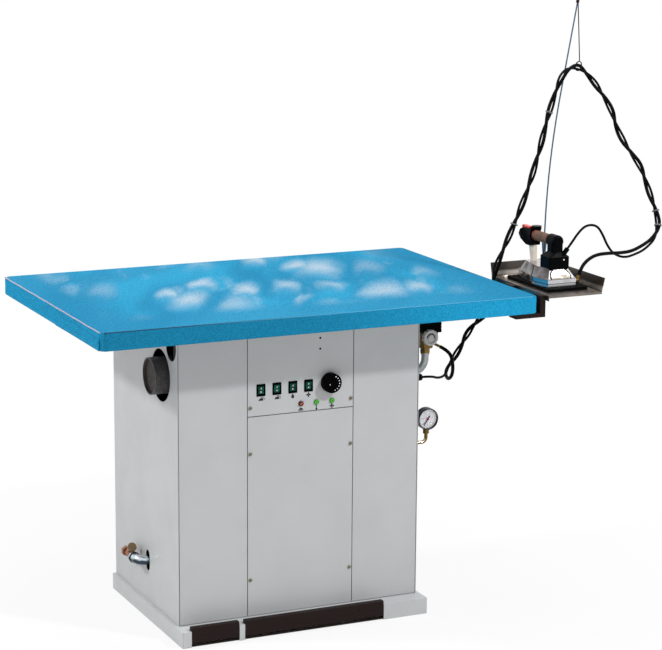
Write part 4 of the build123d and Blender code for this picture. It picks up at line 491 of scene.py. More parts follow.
def plated_pipe(name, bright, dusk):
    """Plated pipe with a painted reflection: bright along its top, dusky below, with a wavy border
    between.
    """
    paint = Paint(name)
    nz = paint.facing()[2]
    haze = paint.noise(45.0, 4.0, 0.65)
    # Painted reflection: faces that look up are bright, those that look down dusky.
    share = paint.ramp(nz + (haze - 0.5) * 0.9, 0.05, 0.45)
    low = paint.ramp(nz, -0.95, -0.6)
    tone = paint.mix(share, dusk, bright)
    tone = paint.mix((1.0 - low) * 0.5, tone, bright)
    rough = paint.ramp(haze, 0.3, 0.75, 0.12, 0.24)
    return paint.finish(tone, rough, paint.bump(haze, 0.1, 0.0005), 1.0)


def plated_shell(name, bright, dusk):
    """Chromed shell of an iron with painted reflections: bright at its heel, dusky on its shoulders,
    nose and top, with painted dark bands at its foot and along the heel's crease.
    """
    paint = Paint(name)
    nx, _, nz = paint.facing()
    _, y, z = paint.axes()
    haze = paint.noise(28.0, 5.0, 0.65)
    hairs = paint.noise(1.0, 3.0, 0.7, paint.stretched((900.0, 60.0, 700.0)))
    # Painted reflections: dusky shoulders, nose and top, from the facing and place on the shell.
    shoulder = paint.ramp(paint.maths("ABSOLUTE", nx), 0.3, 0.6) * paint.ramp(nz, 0.1, 0.3)
    shoulder = shoulder * paint.ramp(haze + z * 6.0, SHELL_SHADE[0], SHELL_SHADE[1], 0.75, 1.0)
    nose = paint.ramp(y, SHELL_NOSE, SHELL_NOSE + 0.02) * 0.6
    share = paint.maths("MAXIMUM", shoulder, nose)
    share = paint.maths("MAXIMUM", share, paint.ramp(nz, 0.86, 0.97) * 0.5)
    # Painted dark bands at the shell's foot, along the heel's crease and below it.
    foot = 1.0 - paint.ramp(z, SHELL_LOW.z + 0.0015, SHELL_LOW.z + 0.0035)
    crease = 1.0 - paint.ramp(paint.maths("ABSOLUTE", z - HEEL_FOOT), 0.0003, 0.0016)
    band = 1.0 - paint.ramp(z, HEEL_FOOT - 0.001, HEEL_FOOT + 0.001)
    share = paint.maths("MAXIMUM", share, paint.maths("MAXIMUM", foot * 0.9, crease * 0.7))
    share = paint.maths("MAXIMUM", share, band * paint.ramp(haze, 0.3, 0.7, 0.12, 0.42))
    tone = paint.mix(haze, tinted(bright, 0.92), tinted(bright, 1.04))
    tone = paint.mix(share, tone, dusk)
    rough = paint.ramp(haze, 0.35, 0.75, 0.05, 0.17) + hairs * 0.04
    return paint.finish(tone, rough, paint.bump(hairs, 0.04, 0.0002), 1.0)


def tray_sheet(name, colour, dusk, shine):
    """Brushed stainless tray with painted reflections: a painted bright bend above its floor and
    painted dusky lips.
    """
    paint = Paint(name)
    z = paint.axes()[2]
    lines = paint.noise(1.0, 4.0, 0.7, paint.stretched((1500.0, 12.0, 1500.0)))
    stain = paint.noise(13.0, 4.0, 0.6)
    rise = z - TRAY_FLOOR + (stain - 0.5) * 0.006
    # Painted reflection: the walls darken above the floor, and a bright band is painted just above
    # it.
    lip = paint.ramp(rise, 0.004, 0.020)
    bend = paint.ramp(rise, 0.0008, 0.004) * (1.0 - paint.ramp(rise, 0.010, 0.017))
    tone = paint.mix(paint.ramp(stain, 0.35, 0.7), colour, tinted(colour, 0.62))
    tone = paint.mix(lip, tone, dusk)
    tone = paint.mix(bend * 0.85, tone, shine)
    tone = paint.mix(lines * 0.35, tone, tinted(dusk, 0.8))
    rough = paint.ramp(lines, 0.25, 0.8, 0.2, 0.38) + stain * 0.06
    return paint.finish(tone, rough, paint.bump(lines, 0.14, 0.0003), 1.0)


def outlet_rubber(name, black, brown):
    """Black duct stub with a mottled dark brown disc across its mouth."""
    paint = Paint(name)
    off = paint.vector("SUBTRACT", paint.point(), OUTLET_MIDDLE)
    away = paint.vector("LENGTH", paint.vector("MULTIPLY", off, (0.0, 1.0, 1.0)), key="Value")
    disc_share = 1.0 - paint.ramp(away, OUTLET_RADIUS - 0.006, OUTLET_RADIUS - 0.004)
    crumbs = paint.noise(300.0, 3.0, 0.8)
    rub = paint.noise(60.0, 4.0, 0.7)
    plain = paint.mix(paint.ramp(rub, 0.35, 0.7), black, tinted(black, 1.6))
    # Mottled dark brown across the mouth of the duct.
    mouth_tone = paint.mix(paint.ramp(crumbs, 0.46, 0.66), tinted(brown, 0.06), tinted(brown, 0.5))
    tone = paint.mix(disc_share, plain, mouth_tone)
    rough = paint.ramp(rub, 0.3, 0.75, 0.6, 0.45)
    normal = paint.bump(crumbs, 0.5, 0.0009)
    return paint.finish(tone, rough, normal, specular_ior_level=0.25)


def moulded(name, colour, roughness=0.45, grain=700.0, strength=0.2, **more):
    """Moulded plastic with a fine grain and slightly rubbed places."""
    paint = Paint(name)
    texture = paint.noise(grain, 2.0, 0.6)
    rubbed = paint.noise(24.0, 4.0, 0.6)
    tone = paint.mix(paint.ramp(rubbed, 0.45, 0.8), colour, tinted(colour, 1.35))
    rough = paint.ramp(rubbed, 0.3, 0.75, roughness + 0.05, roughness - 0.09)
    normal = paint.bump(texture, strength, 0.0003)
    return paint.finish(tone, rough, normal, **more)


def glossy_plastic(name, colour, inner):
    """See-through coloured plastic: depth in the colour, gloss on the skin."""
    paint = Paint(name)
    prisms = paint.noise(260.0, 2.0, 0.5)
    depth = paint.noise(55.0, 2.0, 0.5)
    tone = paint.mix(paint.ramp(prisms, 0.35, 0.65), colour, inner)
    tone = paint.mix(paint.ramp(depth, 0.35, 0.65) * 0.5, tone, tinted(colour, 0.45))
    rough = paint.ramp(prisms, 0.3, 0.7, 0.2, 0.32)
    return paint.finish(
        tone, rough, coat_weight=0.05, coat_roughness=0.1, specular_ior_level=0.1,
    )


def rubber(name, colour):
    """Cord sheath: matt rubber with a fine textile print and shiny rub marks."""
    paint = Paint(name)
    print_marks = paint.cells(520.0, randomness=0.5)
    rub = paint.noise(30.0, 4.0)
    tone = paint.mix(paint.ramp(rub, 0.5, 0.75), colour, tinted(colour, 1.9))
    rough = paint.ramp(rub, 0.35, 0.75, 0.55, 0.35)
    normal = paint.bump(print_marks, 0.35, 0.0006)
    return paint.finish(tone, rough, normal, specular_ior_level=0.06)


def cloud_plane(paint):
    """Place on the top, turned and drawn out as the print is, and softly stirred."""
    cosine, sine = math.cos(CLOUD_TURN), math.sin(CLOUD_TURN)
    across = paint.vector("DOT_PRODUCT", paint.point(), (cosine, -sine, 0.0), key="Value")
    deep = (sine * CLOUD_DEPTH, cosine * CLOUD_DEPTH, 0.0)
    along = paint.vector("DOT_PRODUCT", paint.point(), deep, key="Value")
    flat = paint.out(paint.node("ShaderNodeCombineXYZ", {}, {0: across, 1: along, 2: 0.0}))
    swirl = paint.node("ShaderNodeTexNoise", {}, {"Scale": 12.0, "Detail": 2.0, "Vector": flat})
    reach = (CLOUD_STIR, CLOUD_STIR, 0.0)
    return paint.vector("MULTIPLY_ADD", paint.out(swirl, "Color"), reach, flat)


def cloud_layer(paint, flat, scale, arc, width, shift):
    """Soft hollowed puffs round scattered centres, and the glow round them."""
    place = paint.vector("ADD", flat, shift)
    centre = paint.cells(scale, "F1", place, CLOUD_SCATTER, "Position", "2D")
    chosen = paint.axes(paint.cells(scale, "F1", place, CLOUD_SCATTER, "Color", "2D"))[0]
    edge = paint.cells(scale, "DISTANCE_TO_EDGE", place, CLOUD_SCATTER, size="2D")
    away = paint.vector("SUBTRACT", place, centre)
    ahead = paint.axes(away)[1]
    ring = paint.vector("LENGTH", away, key="Value") * (0.75 + chosen * 0.55)
    near = paint.vector("LENGTH", paint.vector("ADD", away, (0.0, arc * 0.75, 0.0)), key="Value")
    fade = paint.ramp(edge, 0.0, 0.22) * paint.ramp(chosen, -0.1, 0.6)
    puff = 1.0 - paint.ramp(ring, 0.1 * arc, arc + width)
    hollow = 1.0 - paint.ramp(near, 0.2 * arc, 1.35 * arc)
    crest = puff * (1.0 - hollow * 0.7) * paint.ramp(ahead, -1.8 * arc, 0.5 * arc)
    glow = 1.0 - paint.ramp(ring, 0.3 * arc, arc + 1.8 * width)
    return crest * fade, glow * fade


def woven_blue(name, deep, light, glow, cloud, flank):
    """Printed cotton: a fine weave, soft pale puffs and a brighter blue round them, with painted
    light on its sides: a darker flank, lighter towards the right and on the left face.
    """
    paint = Paint(name)
    x, y, z = paint.axes()
    nx, _, nz = paint.facing()
    top = paint.ramp(nz, 0.35, 0.8)
    weave = paint.maths("SINE", x * WEAVE) * paint.maths("SINE", (y + z) * WEAVE)
    flat = cloud_plane(paint)
    drift = paint.noise(3.0, 2.0, 0.5, flat)
    white = paint.ramp(paint.noise(11.0, 2.0, 0.5, flat), 0.56, 0.8) * 0.5
    halo = paint.ramp(paint.noise(7.0, 1.0, 0.4, flat), 0.42, 0.66)
    for scale, arc, width, shift in CLOUD_LAYERS:
        crest, body = cloud_layer(paint, flat, scale, arc, width, shift)
        white = paint.maths("MAXIMUM", white, crest)
        halo = paint.maths("MAXIMUM", halo, body)
    band = paint.ramp(y, COVER_LOW.y + 0.09, COVER_LOW.y + 0.24)
    ends = 1.0 - paint.ramp(paint.maths("ABSOLUTE", x - COVER_MIDDLE.x), 0.44, 0.58)
    share = band * ends * paint.ramp(drift, 0.26, 0.42) * top
    fine = paint.noise(1.0, 2.0, 0.8, paint.stretched((300.0, 100.0, 300.0)))
    tone = paint.mix(paint.ramp(drift, 0.3, 0.7), deep, light)
    tone = paint.mix(paint.ramp(x, 0.1, 0.6) * 0.55, tone, deep)
    # Painted light on the sides: the flank grows lighter towards the right and on faces that look
    # left.
    side = paint.mix(paint.ramp(x, -0.1, 0.6), flank, tinted(flank, 1.6))
    side = paint.mix(paint.ramp(nx, -0.7, -0.3, 1.0, 0.0), side, tinted(flank, 1.28))
    tone = paint.mix(top, side, tone)
    tone = paint.mix(halo * share * 0.6, tone, glow)
    tone = paint.mix(white * share * 0.95, tone, cloud)
    tone = paint.mix((weave + 1.0) * 0.05, tone, tinted(deep, 0.5))
    tone = paint.mix(1.0, tone, paint.ramp(fine, 0.34, 0.66, 0.78, 1.16), "MULTIPLY")
    rough = paint.ramp(weave, -1.0, 1.0, 0.86, 0.98)
    normal = paint.bump(weave, 0.35, 0.0004)
    normal = paint.bump(paint.noise(18.0, 3.0), 0.12, 0.003, normal)
    return paint.finish(tone, rough, normal, specular_ior_level=0.08)


def open_foam(name, colour):
    """Open cell foam."""
    paint = Paint(name)
    pores = paint.cells(520.0, "F1")
    age = paint.noise(9.0, 3.0)
    tone = paint.mix(paint.ramp(pores, 0.1, 0.5), tinted(colour, 0.6), colour)
    tone = paint.mix(paint.ramp(age, 0.4, 0.8) * 0.4, tone, tinted(colour, 0.75))
    normal = paint.bump(pores, 0.7, 0.001)
    return paint.finish(tone, paint.ramp(age, 0.0, 1.0, 0.85, 0.98), normal)


def granular_cork(name, dark, light):
    """Pressed cork: packed granules with dark gaps."""
    paint = Paint(name)
    grains = paint.cells(430.0, key="Color")
    value = paint.vector("DOT_PRODUCT", grains, (0.4, 0.4, 0.2), key="Value")
    gaps = paint.cells(430.0, "DISTANCE_TO_EDGE")
    long = paint.noise(40.0, 4.0, 0.6)
    tone = paint.mix(value, dark, light)
    tone = paint.mix(paint.ramp(long, 0.4, 0.75) * 0.5, tone, tinted(dark, 0.8))
    tone = paint.mix(paint.ramp(gaps, 0.0, 0.05), tinted(dark, 0.35), tone)
    normal = paint.bump(paint.ramp(gaps, 0.0, 0.12), 0.5, 0.0005)
    return paint.finish(tone, paint.ramp(value, 0.0, 1.0, 0.62, 0.8), normal)


def clear_glass(name):
    """Flat glass with light dust towards its edge."""
    paint = Paint(name)
    dust = paint.noise(120.0, 4.0, 0.7)
    tone = paint.mix(paint.ramp(dust, 0.5, 0.85), (0.97, 0.98, 0.98, 1), (0.88, 0.9, 0.9, 1))
    rough = paint.ramp(dust, 0.4, 0.9, 0.0, 0.07)
    return paint.finish(tone, rough, transmission_weight=1.0, ior=1.05)


def lamp_plastic(name):
    """Lenses of the three lamps, brown red and green, each with a rim and a slanted slot."""
    paint = Paint(name)
    x, _, z = paint.axes()
    green = x > LAMP_PITCH / 2
    across = x - paint.maths("ROUND", x / LAMP_PITCH) * LAMP_PITCH
    rise = z - LAMP_MIDDLE
    away = paint.maths("SQRT", across * across + rise * rise)
    rim = paint.ramp(away, 0.0050, 0.0068)
    slot = 1.0 - paint.ramp(paint.maths("ABSOLUTE", across * 0.6 - rise * 0.8), 0.0004, 0.0016)
    slot = slot * (1.0 - paint.ramp(away, 0.0034, 0.0048))
    prisms = paint.ramp(paint.maths("SINE", (x + z) * 1600.0), -0.2, 0.8)
    red_part = paint.mix(prisms, srgb(78, 18, 6), srgb(110, 30, 10))
    red_part = paint.mix(slot, red_part, srgb(224, 122, 64))
    green_part = paint.mix(prisms, srgb(54, 158, 40), srgb(104, 204, 72))
    green_part = paint.mix(slot, green_part, srgb(30, 84, 24))
    tone = paint.mix(green, red_part, green_part)
    tone = paint.mix(rim * 0.75, tone, paint.mix(green, srgb(52, 14, 8), srgb(46, 118, 34)))
    rough = paint.ramp(prisms, 0.0, 1.0, 0.2, 0.3)
    return paint.finish(
        tone, rough, coat_weight=0.2, coat_roughness=0.1, specular_ior_level=0.25,
    )


def gauge_enamel(name):
    """Black rim, with the same gloss as the case behind it."""
    paint = Paint(name)
    wear = paint.noise(80.0, 4.0)
    tone = paint.mix(paint.ramp(wear, 0.5, 0.8), srgb(14, 14, 17), srgb(34, 35, 40))
    rough = paint.ramp(wear, 0.3, 0.8, 0.3, 0.44)
    normal = paint.bump(paint.noise(500.0), 0.1, 0.0003)
    return paint.finish(tone, rough, normal, coat_weight=0.08, specular_ior_level=0.25)


def wire_gauze(name, wire, gap_shade):
    """Fine woven wire, with painted shade of the cabinet's inside in the openings of its mesh."""
    paint = Paint(name)
    x, _, z = paint.axes()
    over = paint.maths("SINE", x * 3600.0)
    along = paint.maths("SINE", z * 3600.0)
    wires = paint.ramp(paint.maths("MAXIMUM", over, along), 0.3, 0.8)
    dust = paint.noise(40.0, 4.0, 0.6)
    # The openings are painted near-black as the shade behind the mesh.
    tone = paint.mix(wires, gap_shade, wire)
    tone = paint.mix(paint.ramp(dust, 0.5, 0.8) * 0.3, tone, tinted(wire, 1.3))
    rough = paint.ramp(dust, 0.3, 0.8, 0.5, 0.75)
    return paint.finish(tone, rough, paint.bump(wires, 0.4, 0.0004), specular_ior_level=0.15)


def plain_mark(name, colour, roughness=0.5):
    """Printed ink or enamel, slightly uneven."""
    paint = Paint(name)
    uneven = paint.noise(900.0, 3.0)
    tone = paint.mix(uneven, tinted(colour, 0.85), tinted(colour, 1.1))
    return paint.finish(tone, paint.ramp(uneven, 0.2, 0.8, roughness - 0.08, roughness + 0.08))


def seam_thread(name, dark, light):
    """Top stitched seam of the cover, dark at its left end, with a painted highlight growing towards
    its right.
    """
    paint = Paint(name)
    x, y, z = paint.axes()
    twist = paint.maths("SINE", (x + y + z) * 2600.0)
    # Painted highlight: the colour lightens from left to right along the seam.
    share = paint.ramp(x, -0.5, 0.15)
    tone = paint.mix(share, dark, light)
    tone = paint.mix(paint.ramp(twist, -1.0, 1.0) * 0.2, tone, tinted(dark, 0.6))
    normal = paint.bump(twist, 0.4, 0.0005)
    return paint.finish(tone, paint.ramp(twist, -1.0, 1.0, 0.7, 0.9), normal)


WHITE = srgb(188, 190, 191)
FINISHES = {}


def make_finishes(look):
    """One material for each slot of the record, and the few that only marks use."""
    FINISHES.clear()
    white = tuple(look.panel_colour) + (1.0,)
    blue = tuple(look.cloth_colour) + (1.0,)
    matt = {"specular_ior_level": 0.02}
    FINISHES.update(
        white_paint=powder_coat("white_paint", white),
        grey_paint=powder_coat("grey_paint", tinted(white, 0.99)),
        # The plinth's upward faces get a painted highlight.
        plinth_paint=powder_coat("plinth_paint", tinted(white, 1.06), top_highlight=1.2),
        black_paint=powder_coat("black_paint", srgb(30, 19, 17), 0.5, 0.4, 0.12),
        # Near-black paint for parts inside the cabinet: painted shade of its dark inside.
        frame_paint=powder_coat("frame_paint", srgb(22, 22, 24), 0.6, 0.4, 0.12),
        zinc_steel=zinc("zinc_steel", srgb(168, 172, 175)),
        pipe_zinc=cast_metal("pipe_zinc", srgb(172, 176, 178), 0.75, 0.38, 300.0),
        boiler_steel=brushed("boiler_steel", srgb(178, 178, 178), "x", 0.36),
        screw_steel=polished("screw_steel", srgb(140, 132, 114), 0.2),
        # The drain and gauge pipes carry painted reflections, bright above and dusky below.
        drain_plating=plated_pipe("drain_plating", srgb(206, 214, 220), srgb(52, 66, 78)),
        copper_brown=cast_metal("copper_brown", srgb(146, 92, 64), 0.7, 0.34, 200.0),
        dull_brass=plated_pipe("dull_brass", srgb(232, 216, 178), srgb(110, 84, 44)),
        # The tray's colours carry painted reflections: dusky lips and a bright bend.
        stainless=tray_sheet(
            "stainless", srgb(150, 140, 132), srgb(86, 80, 76), srgb(236, 226, 216),
        ),
        spring_steel=brushed("spring_steel", srgb(84, 104, 124), "z", 0.3),
        motor_paint=powder_coat("motor_paint", srgb(74, 80, 90), 0.5, 0.4),
        cast_alloy=cast_metal("cast_alloy", srgb(192, 194, 196), 0.85),
        brass=cast_metal("brass", srgb(122, 98, 58), 0.9, 0.34, 220.0),
        black_plastic=moulded("black_plastic", srgb(2, 2, 3), 0.5, **matt),
        outlet_rubber=outlet_rubber("outlet_rubber", srgb(66, 64, 65), srgb(84, 62, 50)),
        iron_plastic=moulded(
            "iron_plastic", srgb(2, 3, 4), 0.26, 900.0, 0.1, specular_ior_level=0.035,
        ),
        green_plastic=glossy_plastic("green_plastic", srgb(0, 58, 46), srgb(2, 100, 78)),
        lamp_plastic=lamp_plastic("lamp_plastic"),
        grey_plastic=moulded("grey_plastic", srgb(178, 179, 176), 0.36),
        bronze_paint=cast_metal("bronze_paint", srgb(136, 114, 84), 0.5, 0.4),
        gauge_paint=gauge_enamel("gauge_paint"),
        needle_paint=plain_mark("needle_paint", srgb(22, 22, 26)),
        clear_glass=clear_glass("clear_glass"),
        tank_plastic=moulded("tank_plastic", srgb(220, 222, 216), 0.4, 300.0),
        # The flank colour is a painted shade of the cloth for the cover's sides.
        blue_cloth=woven_blue(
            "blue_cloth", blue, srgb(54, 154, 197), srgb(52, 172, 216), srgb(196, 212, 224),
            srgb(26, 131, 172),
        ),
        foam=open_foam("foam", srgb(226, 220, 204)),
        rubber_mat=moulded("rubber_mat", srgb(10, 10, 10), 0.6, 500.0, 0.4, **matt),
        sole_alloy=brushed("sole_alloy", srgb(196, 198, 202), "y", 0.18),
        # The iron's cover carries painted reflections.
        chrome=plated_shell("chrome", srgb(226, 226, 230), srgb(84, 80, 80)),
        cork=granular_cork("cork", srgb(84, 58, 44), srgb(134, 98, 76)),
        red_plastic=moulded("red_plastic", srgb(206, 52, 34), 0.3, 900.0, 0.1, coat_weight=0.3),
        beige_plastic=moulded("beige_plastic", srgb(230, 214, 198), 0.4, 800.0, 0.1),
        black_rubber=rubber("black_rubber", srgb(3, 3, 3)),
        white_plastic=moulded("white_plastic", srgb(190, 194, 196), 0.4),
        ink=plain_mark("ink", srgb(8, 8, 10)),
        tie_plastic=moulded("tie_plastic", srgb(92, 94, 96), 0.4),
        # The gauze's second colour is painted shade in its openings.
        gauze=wire_gauze("gauze", srgb(44, 44, 46), srgb(8, 8, 9)),
        heel_steel=heel_sheet("heel_steel", srgb(212, 210, 206), srgb(104, 96, 86)),
        white_ink=plain_mark("white_ink", srgb(244, 248, 250)),
        pink_ink=plain_mark("pink_ink", srgb(252, 222, 212)),
        red_ink=plain_mark("red_ink", srgb(206, 40, 52)),
        grip_red=moulded("grip_red", srgb(112, 42, 26), 0.4, 900.0, 0.1),
        enamel=plain_mark("enamel", srgb(238, 238, 242), 0.3),
        piping=seam_thread("piping", srgb(190, 180, 196), srgb(190, 188, 202)),
        # The front seam runs from its dark colour to a painted highlight at its right.
        seam=seam_thread("seam", srgb(26, 52, 80), srgb(84, 182, 224)),
    )


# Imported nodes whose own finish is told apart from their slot's.
NODE_FINISHES = {
    # The inner frame and fan volute are painted near-black as the shade inside the cabinet.
    "inner_frame": "frame_paint",
    "fan_volute": "frame_paint",
    "exhaust_spigot": "outlet_rubber",
    "plinth_base": "plinth_paint",
    "drain_valve": "copper_brown",
    "drain_pipe": "drain_plating",
    "gauge_pipe": "dull_brass",
    "cable_ties": "tie_plastic",
}


def dress_nodes():
    """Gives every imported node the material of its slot."""
    for name, part in NODES.items():
        for place, old in enumerate(part.data.materials):
            slot = old.name.split(".")[0]
            part.data.materials[place] = FINISHES[NODE_FINISHES.get(name, slot)]
        for face in part.data.polygons:
            face.use_smooth = True


def add_piece(name, mesh, finish, body):
    """Puts a finished mesh in the scene, on its body, with its material."""
    mesh.name = name
    mesh.materials.clear()
    mesh.materials.append(FINISHES[finish])
    piece = bpy.data.objects.new(name, mesh)
    bpy.context.scene.collection.objects.link(piece)
    if body:
        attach(piece, body)
    return piece


def to_mesh(form, smooth=True):
    """Turns a bmesh into a mesh with outward normals."""
    bmesh.ops.remove_doubles(form, verts=form.verts, dist=1e-7)
    bmesh.ops.recalc_face_normals(form, faces=form.faces)
    mesh = bpy.data.meshes.new("form")
    form.to_mesh(mesh)
    form.free()
    for face in mesh.polygons:
        face.use_smooth = smooth
    return mesh


def with_modifiers(mesh, *steps):
    """Applies modifiers to a mesh. Each step is a kind and its settings."""
    carrier = bpy.data.objects.new("carrier", mesh)
    bpy.context.scene.collection.objects.link(carrier)
    for kind, settings in steps:
        modifier = carrier.modifiers.new(kind, kind)
        for key, value in settings.items():
            setattr(modifier, key, value)
    bpy.context.view_layer.update()
    graph = bpy.context.evaluated_depsgraph_get()
    result = bpy.data.meshes.new_from_object(carrier.evaluated_get(graph))
    bpy.data.objects.remove(carrier)
    return result


def smooth_line(points, steps=12):
    """Points along the smooth line that the control points give."""
    curve = bpy.data.curves.new("line", "CURVE")
    curve.dimensions = "3D"
    spline = curve.splines.new("NURBS")
    spline.points.add(len(points) - 1)
    for knot, point in zip(spline.points, points):
        knot.co = (*point, 1.0)
    spline.order_u = 3
    spline.use_endpoint_u = True
    curve.resolution_u = steps
    carrier = bpy.data.objects.new("line", curve)
    bpy.context.scene.collection.objects.link(carrier)
    bpy.context.view_layer.update()
    mesh = bpy.data.meshes.new_from_object(carrier)
    line = [vertex.co.copy() for vertex in mesh.vertices]
    bpy.data.objects.remove(carrier)
    bpy.data.meshes.remove(mesh)
    return line


def join_rings(form, lower, upper):
    """Faces between two closed rings with equal numbers of points."""
    for index, point in enumerate(lower):
        nearby = (index + 1) % len(lower)
        form.faces.new((point, lower[nearby], upper[nearby], upper[index]))


def fill_grid(form, grid):
    """Faces between the rows of a grid of points."""
    for row, above in zip(grid, grid[1:]):
        for index in range(len(row) - 1):
            form.faces.new((row[index], row[index + 1], above[index + 1], above[index]))


def grid_rim(grid):
    """Points round the border of a grid, in turn."""
    rim = grid[0][:-1] + [row[-1] for row in grid[:-1]]
    return rim + list(reversed(grid[-1][1:])) + [row[0] for row in reversed(grid[1:])]


def sweep(form, path, radius, sides=12, closed=False):
    """Adds a tube along a path. The radius is one number, or one for each point."""
    radii = radius if isinstance(radius, list) else [radius] * len(path)
    rings = []
    side = None
    count = len(path)
    for index, (point, reach) in enumerate(zip(path, radii)):
        before = path[max(0, index - 1)]
        after = path[min(count - 1, index + 1)]
        if closed:
            before = path[index - 1]
            after = path[(index + 1) % count]
        along = (after - before).normalized()
        if side is None:
            guide = Vector((0, 0, 1)) if abs(along.z) < 0.9 else Vector((1, 0, 0))
            side = along.cross(guide).normalized()
        side = (side - along * side.dot(along)).normalized()
        up = along.cross(side)
        ring = []
        for corner in range(sides):
            turn = 2 * math.pi * corner / sides
            offset = side * math.cos(turn) * reach + up * math.sin(turn) * reach
            ring.append(form.verts.new(point + offset))
        rings.append(ring)
    for low, high in zip(rings, rings[1:]):
        join_rings(form, low, high)
    if closed:
        join_rings(form, rings[-1], rings[0])
    else:
        form.faces.new(list(reversed(rings[0])))
        form.faces.new(rings[-1])


def tube_mesh(path, radius, sides):
    """Mesh of a closed tube along a path."""
    form = bmesh.new()
    sweep(form, path, radius, sides)
    return to_mesh(form)


def rounded_outline(low, high, radius, steps):
    """Corner arcs of a rounded rectangle in x and y, anticlockwise."""
    points = []
    corners = (
        (high.x - radius, low.y + radius, -QUARTER), (high.x - radius, high.y - radius, 0.0),
        (low.x + radius, high.y - radius, QUARTER), (low.x + radius, low.y + radius, math.pi),
    )
    for cx, cy, start in corners:
        for step in range(steps + 1):
            turn = start + QUARTER * step / steps
            points.append(Vector((cx + radius * math.cos(turn), cy + radius * math.sin(turn), 0)))
    return points


def plate(form, outline, low, high, place):
    """Adds a flat plate of an outline between two heights of a drawing's place."""
    under = [form.verts.new(place @ Vector((p[0], p[1], low))) for p in outline]
    over = [form.verts.new(place @ Vector((p[0], p[1], high))) for p in outline]
    join_rings(form, under, over)
    form.faces.new(list(reversed(under)))
    form.faces.new(over)


def polar(radius, degrees):
    """Point of a drawing at a distance and an angle from its middle."""
    turn = math.radians(degrees)
    return radius * math.cos(turn), radius * math.sin(turn)


def arc_points(radius, first, last, steps):
    """Points of an arc round a drawing's middle, between two angles in degrees."""
    return [polar(radius, first + (last - first) * step / steps) for step in range(steps + 1)]


def disc(radius, steps=24, centre=(0.0, 0.0), squeeze=1.0):
    """Outline of a circle or an ellipse."""
    points = []
    for step in range(steps):
        turn = 2 * math.pi * step / steps
        x = centre[0] + radius * math.cos(turn)
        y = centre[1] + radius * squeeze * math.sin(turn)
        points.append((x, y))
    return points


def stroke(start, end, width):
    """Outline of a straight stroke of a drawing."""
    along = Vector((end[0] - start[0], end[1] - start[1])).normalized() * width / 2
    across = Vector((-along.y, along.x))
    return [
        (start[0] - along.x - across.x, start[1] - along.y - across.y),
        (end[0] + along.x - across.x, end[1] + along.y - across.y),
        (end[0] + along.x + across.x, end[1] + along.y + across.y),
        (start[0] - along.x + across.x, start[1] - along.y + across.y),
    ]


def front_matrix(x, y, z, scale=1.0):
    """Turns a drawing in x and y to stand on a front face, seen from before it."""
    turn = Matrix.Rotation(QUARTER, 4, "X") @ Matrix.Diagonal((scale, scale, 1.0, 1.0))
    return Matrix.Translation((x, y, z)) @ turn


def facet_matrix(point, normal):
    """Lays a drawing on a sloping face, its x level and its y up the slope."""
    level = (Vector((1, 0, 0)) - normal * normal.x).normalized()
    slope = normal.cross(level)
    turn = Matrix((level, slope, normal)).transposed().to_4x4()
    return Matrix.Translation(point) @ turn


def first_touch(node, start):
    """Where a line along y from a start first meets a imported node, and its surface's direction."""
    hit, point, normal, _ = NODES[node].ray_cast(Vector(start), Vector((0, 1, 0)))
    if not hit:
        raise RuntimeError(f"nothing of {node} lies behind {tuple(start)}")
    return point, normal


def front_touch(node, x, z):
    """First touch of a node from well before it."""
    return first_touch(node, (x, span(node)[0].y - LEAD, z))


def look_at(place, target):
    """Matrix of a lamp or camera that looks from its place at a target."""
    forward = (Vector(target) - Vector(place)).normalized()
    turn = forward.to_track_quat("-Z", "Y").to_matrix().to_4x4()
    return Matrix.Translation(place) @ turn


class TableSizes(bpy.types.PropertyGroup):
    """Sizes that a user may change."""

    cover_thickness: FloatProperty(
        name="Cover thickness", description="Thickness of the cotton cover",
        default=0.0016, min=0.0008, max=0.003, unit="LENGTH",
    )
    cover_hem: FloatProperty(
        name="Hem", description="Width of the hem turned under the board",
        default=0.032, min=0.01, max=0.06, unit="LENGTH",
    )
    cover_edge: FloatProperty(
        name="Edge radius", description="Rounding of the padded edge",
        default=0.008, min=0.003, max=0.015, unit="LENGTH",
    )
    cover_corner: FloatProperty(
        name="Corner radius", description="Rounding of the board's corners, seen from above",
        default=0.020, min=0.005, max=0.06, unit="LENGTH",
    )
    cover_wave: FloatProperty(
        name="Unevenness", description="Height of the soft waves in the padded cover",
        default=0.0012, min=0.0, max=0.004, unit="LENGTH",
    )
    piping_radius: FloatProperty(
        name="Piping radius", description="Radius of the piping along the left edge",
        default=0.0017, min=0.0005, max=0.004, unit="LENGTH",
    )
    hose_diameter: FloatProperty(
        name="Hose diameter", description="Diameter of the steam hose",
        default=0.010, min=0.006, max=0.016, unit="LENGTH",
    )
    cable_diameter: FloatProperty(
        name="Cable diameter", description="Diameter of the iron's cable",
        default=0.007, min=0.004, max=0.010, unit="LENGTH",
    )
    mark_height: FloatProperty(
        name="Mark thickness", description="How far printed marks stand off their panel",
        default=0.00015, min=0.00005, max=0.0005, unit="LENGTH",
    )


class TableLook(bpy.types.PropertyGroup):
    """Colours that a user may change."""

    panel_colour: FloatVectorProperty(
        name="Panels", description="Powder coat of the cabinet", subtype="COLOR",
        size=3, min=0.0, max=1.0, default=WHITE[:3],
    )
    cloth_colour: FloatVectorProperty(
        name="Cover", description="Ground colour of the cotton cover", subtype="COLOR",
        size=3, min=0.0, max=1.0, default=srgb(36, 137, 181)[:3],
    )


class TABLE_OT_finishes(bpy.types.Operator):
    """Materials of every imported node"""

    bl_idname = "ironing_table.finishes"
    bl_label = "Finishes"

    def execute(self, context):
        make_finishes(context.scene.table_look)
        dress_nodes()
        return {"FINISHED"}


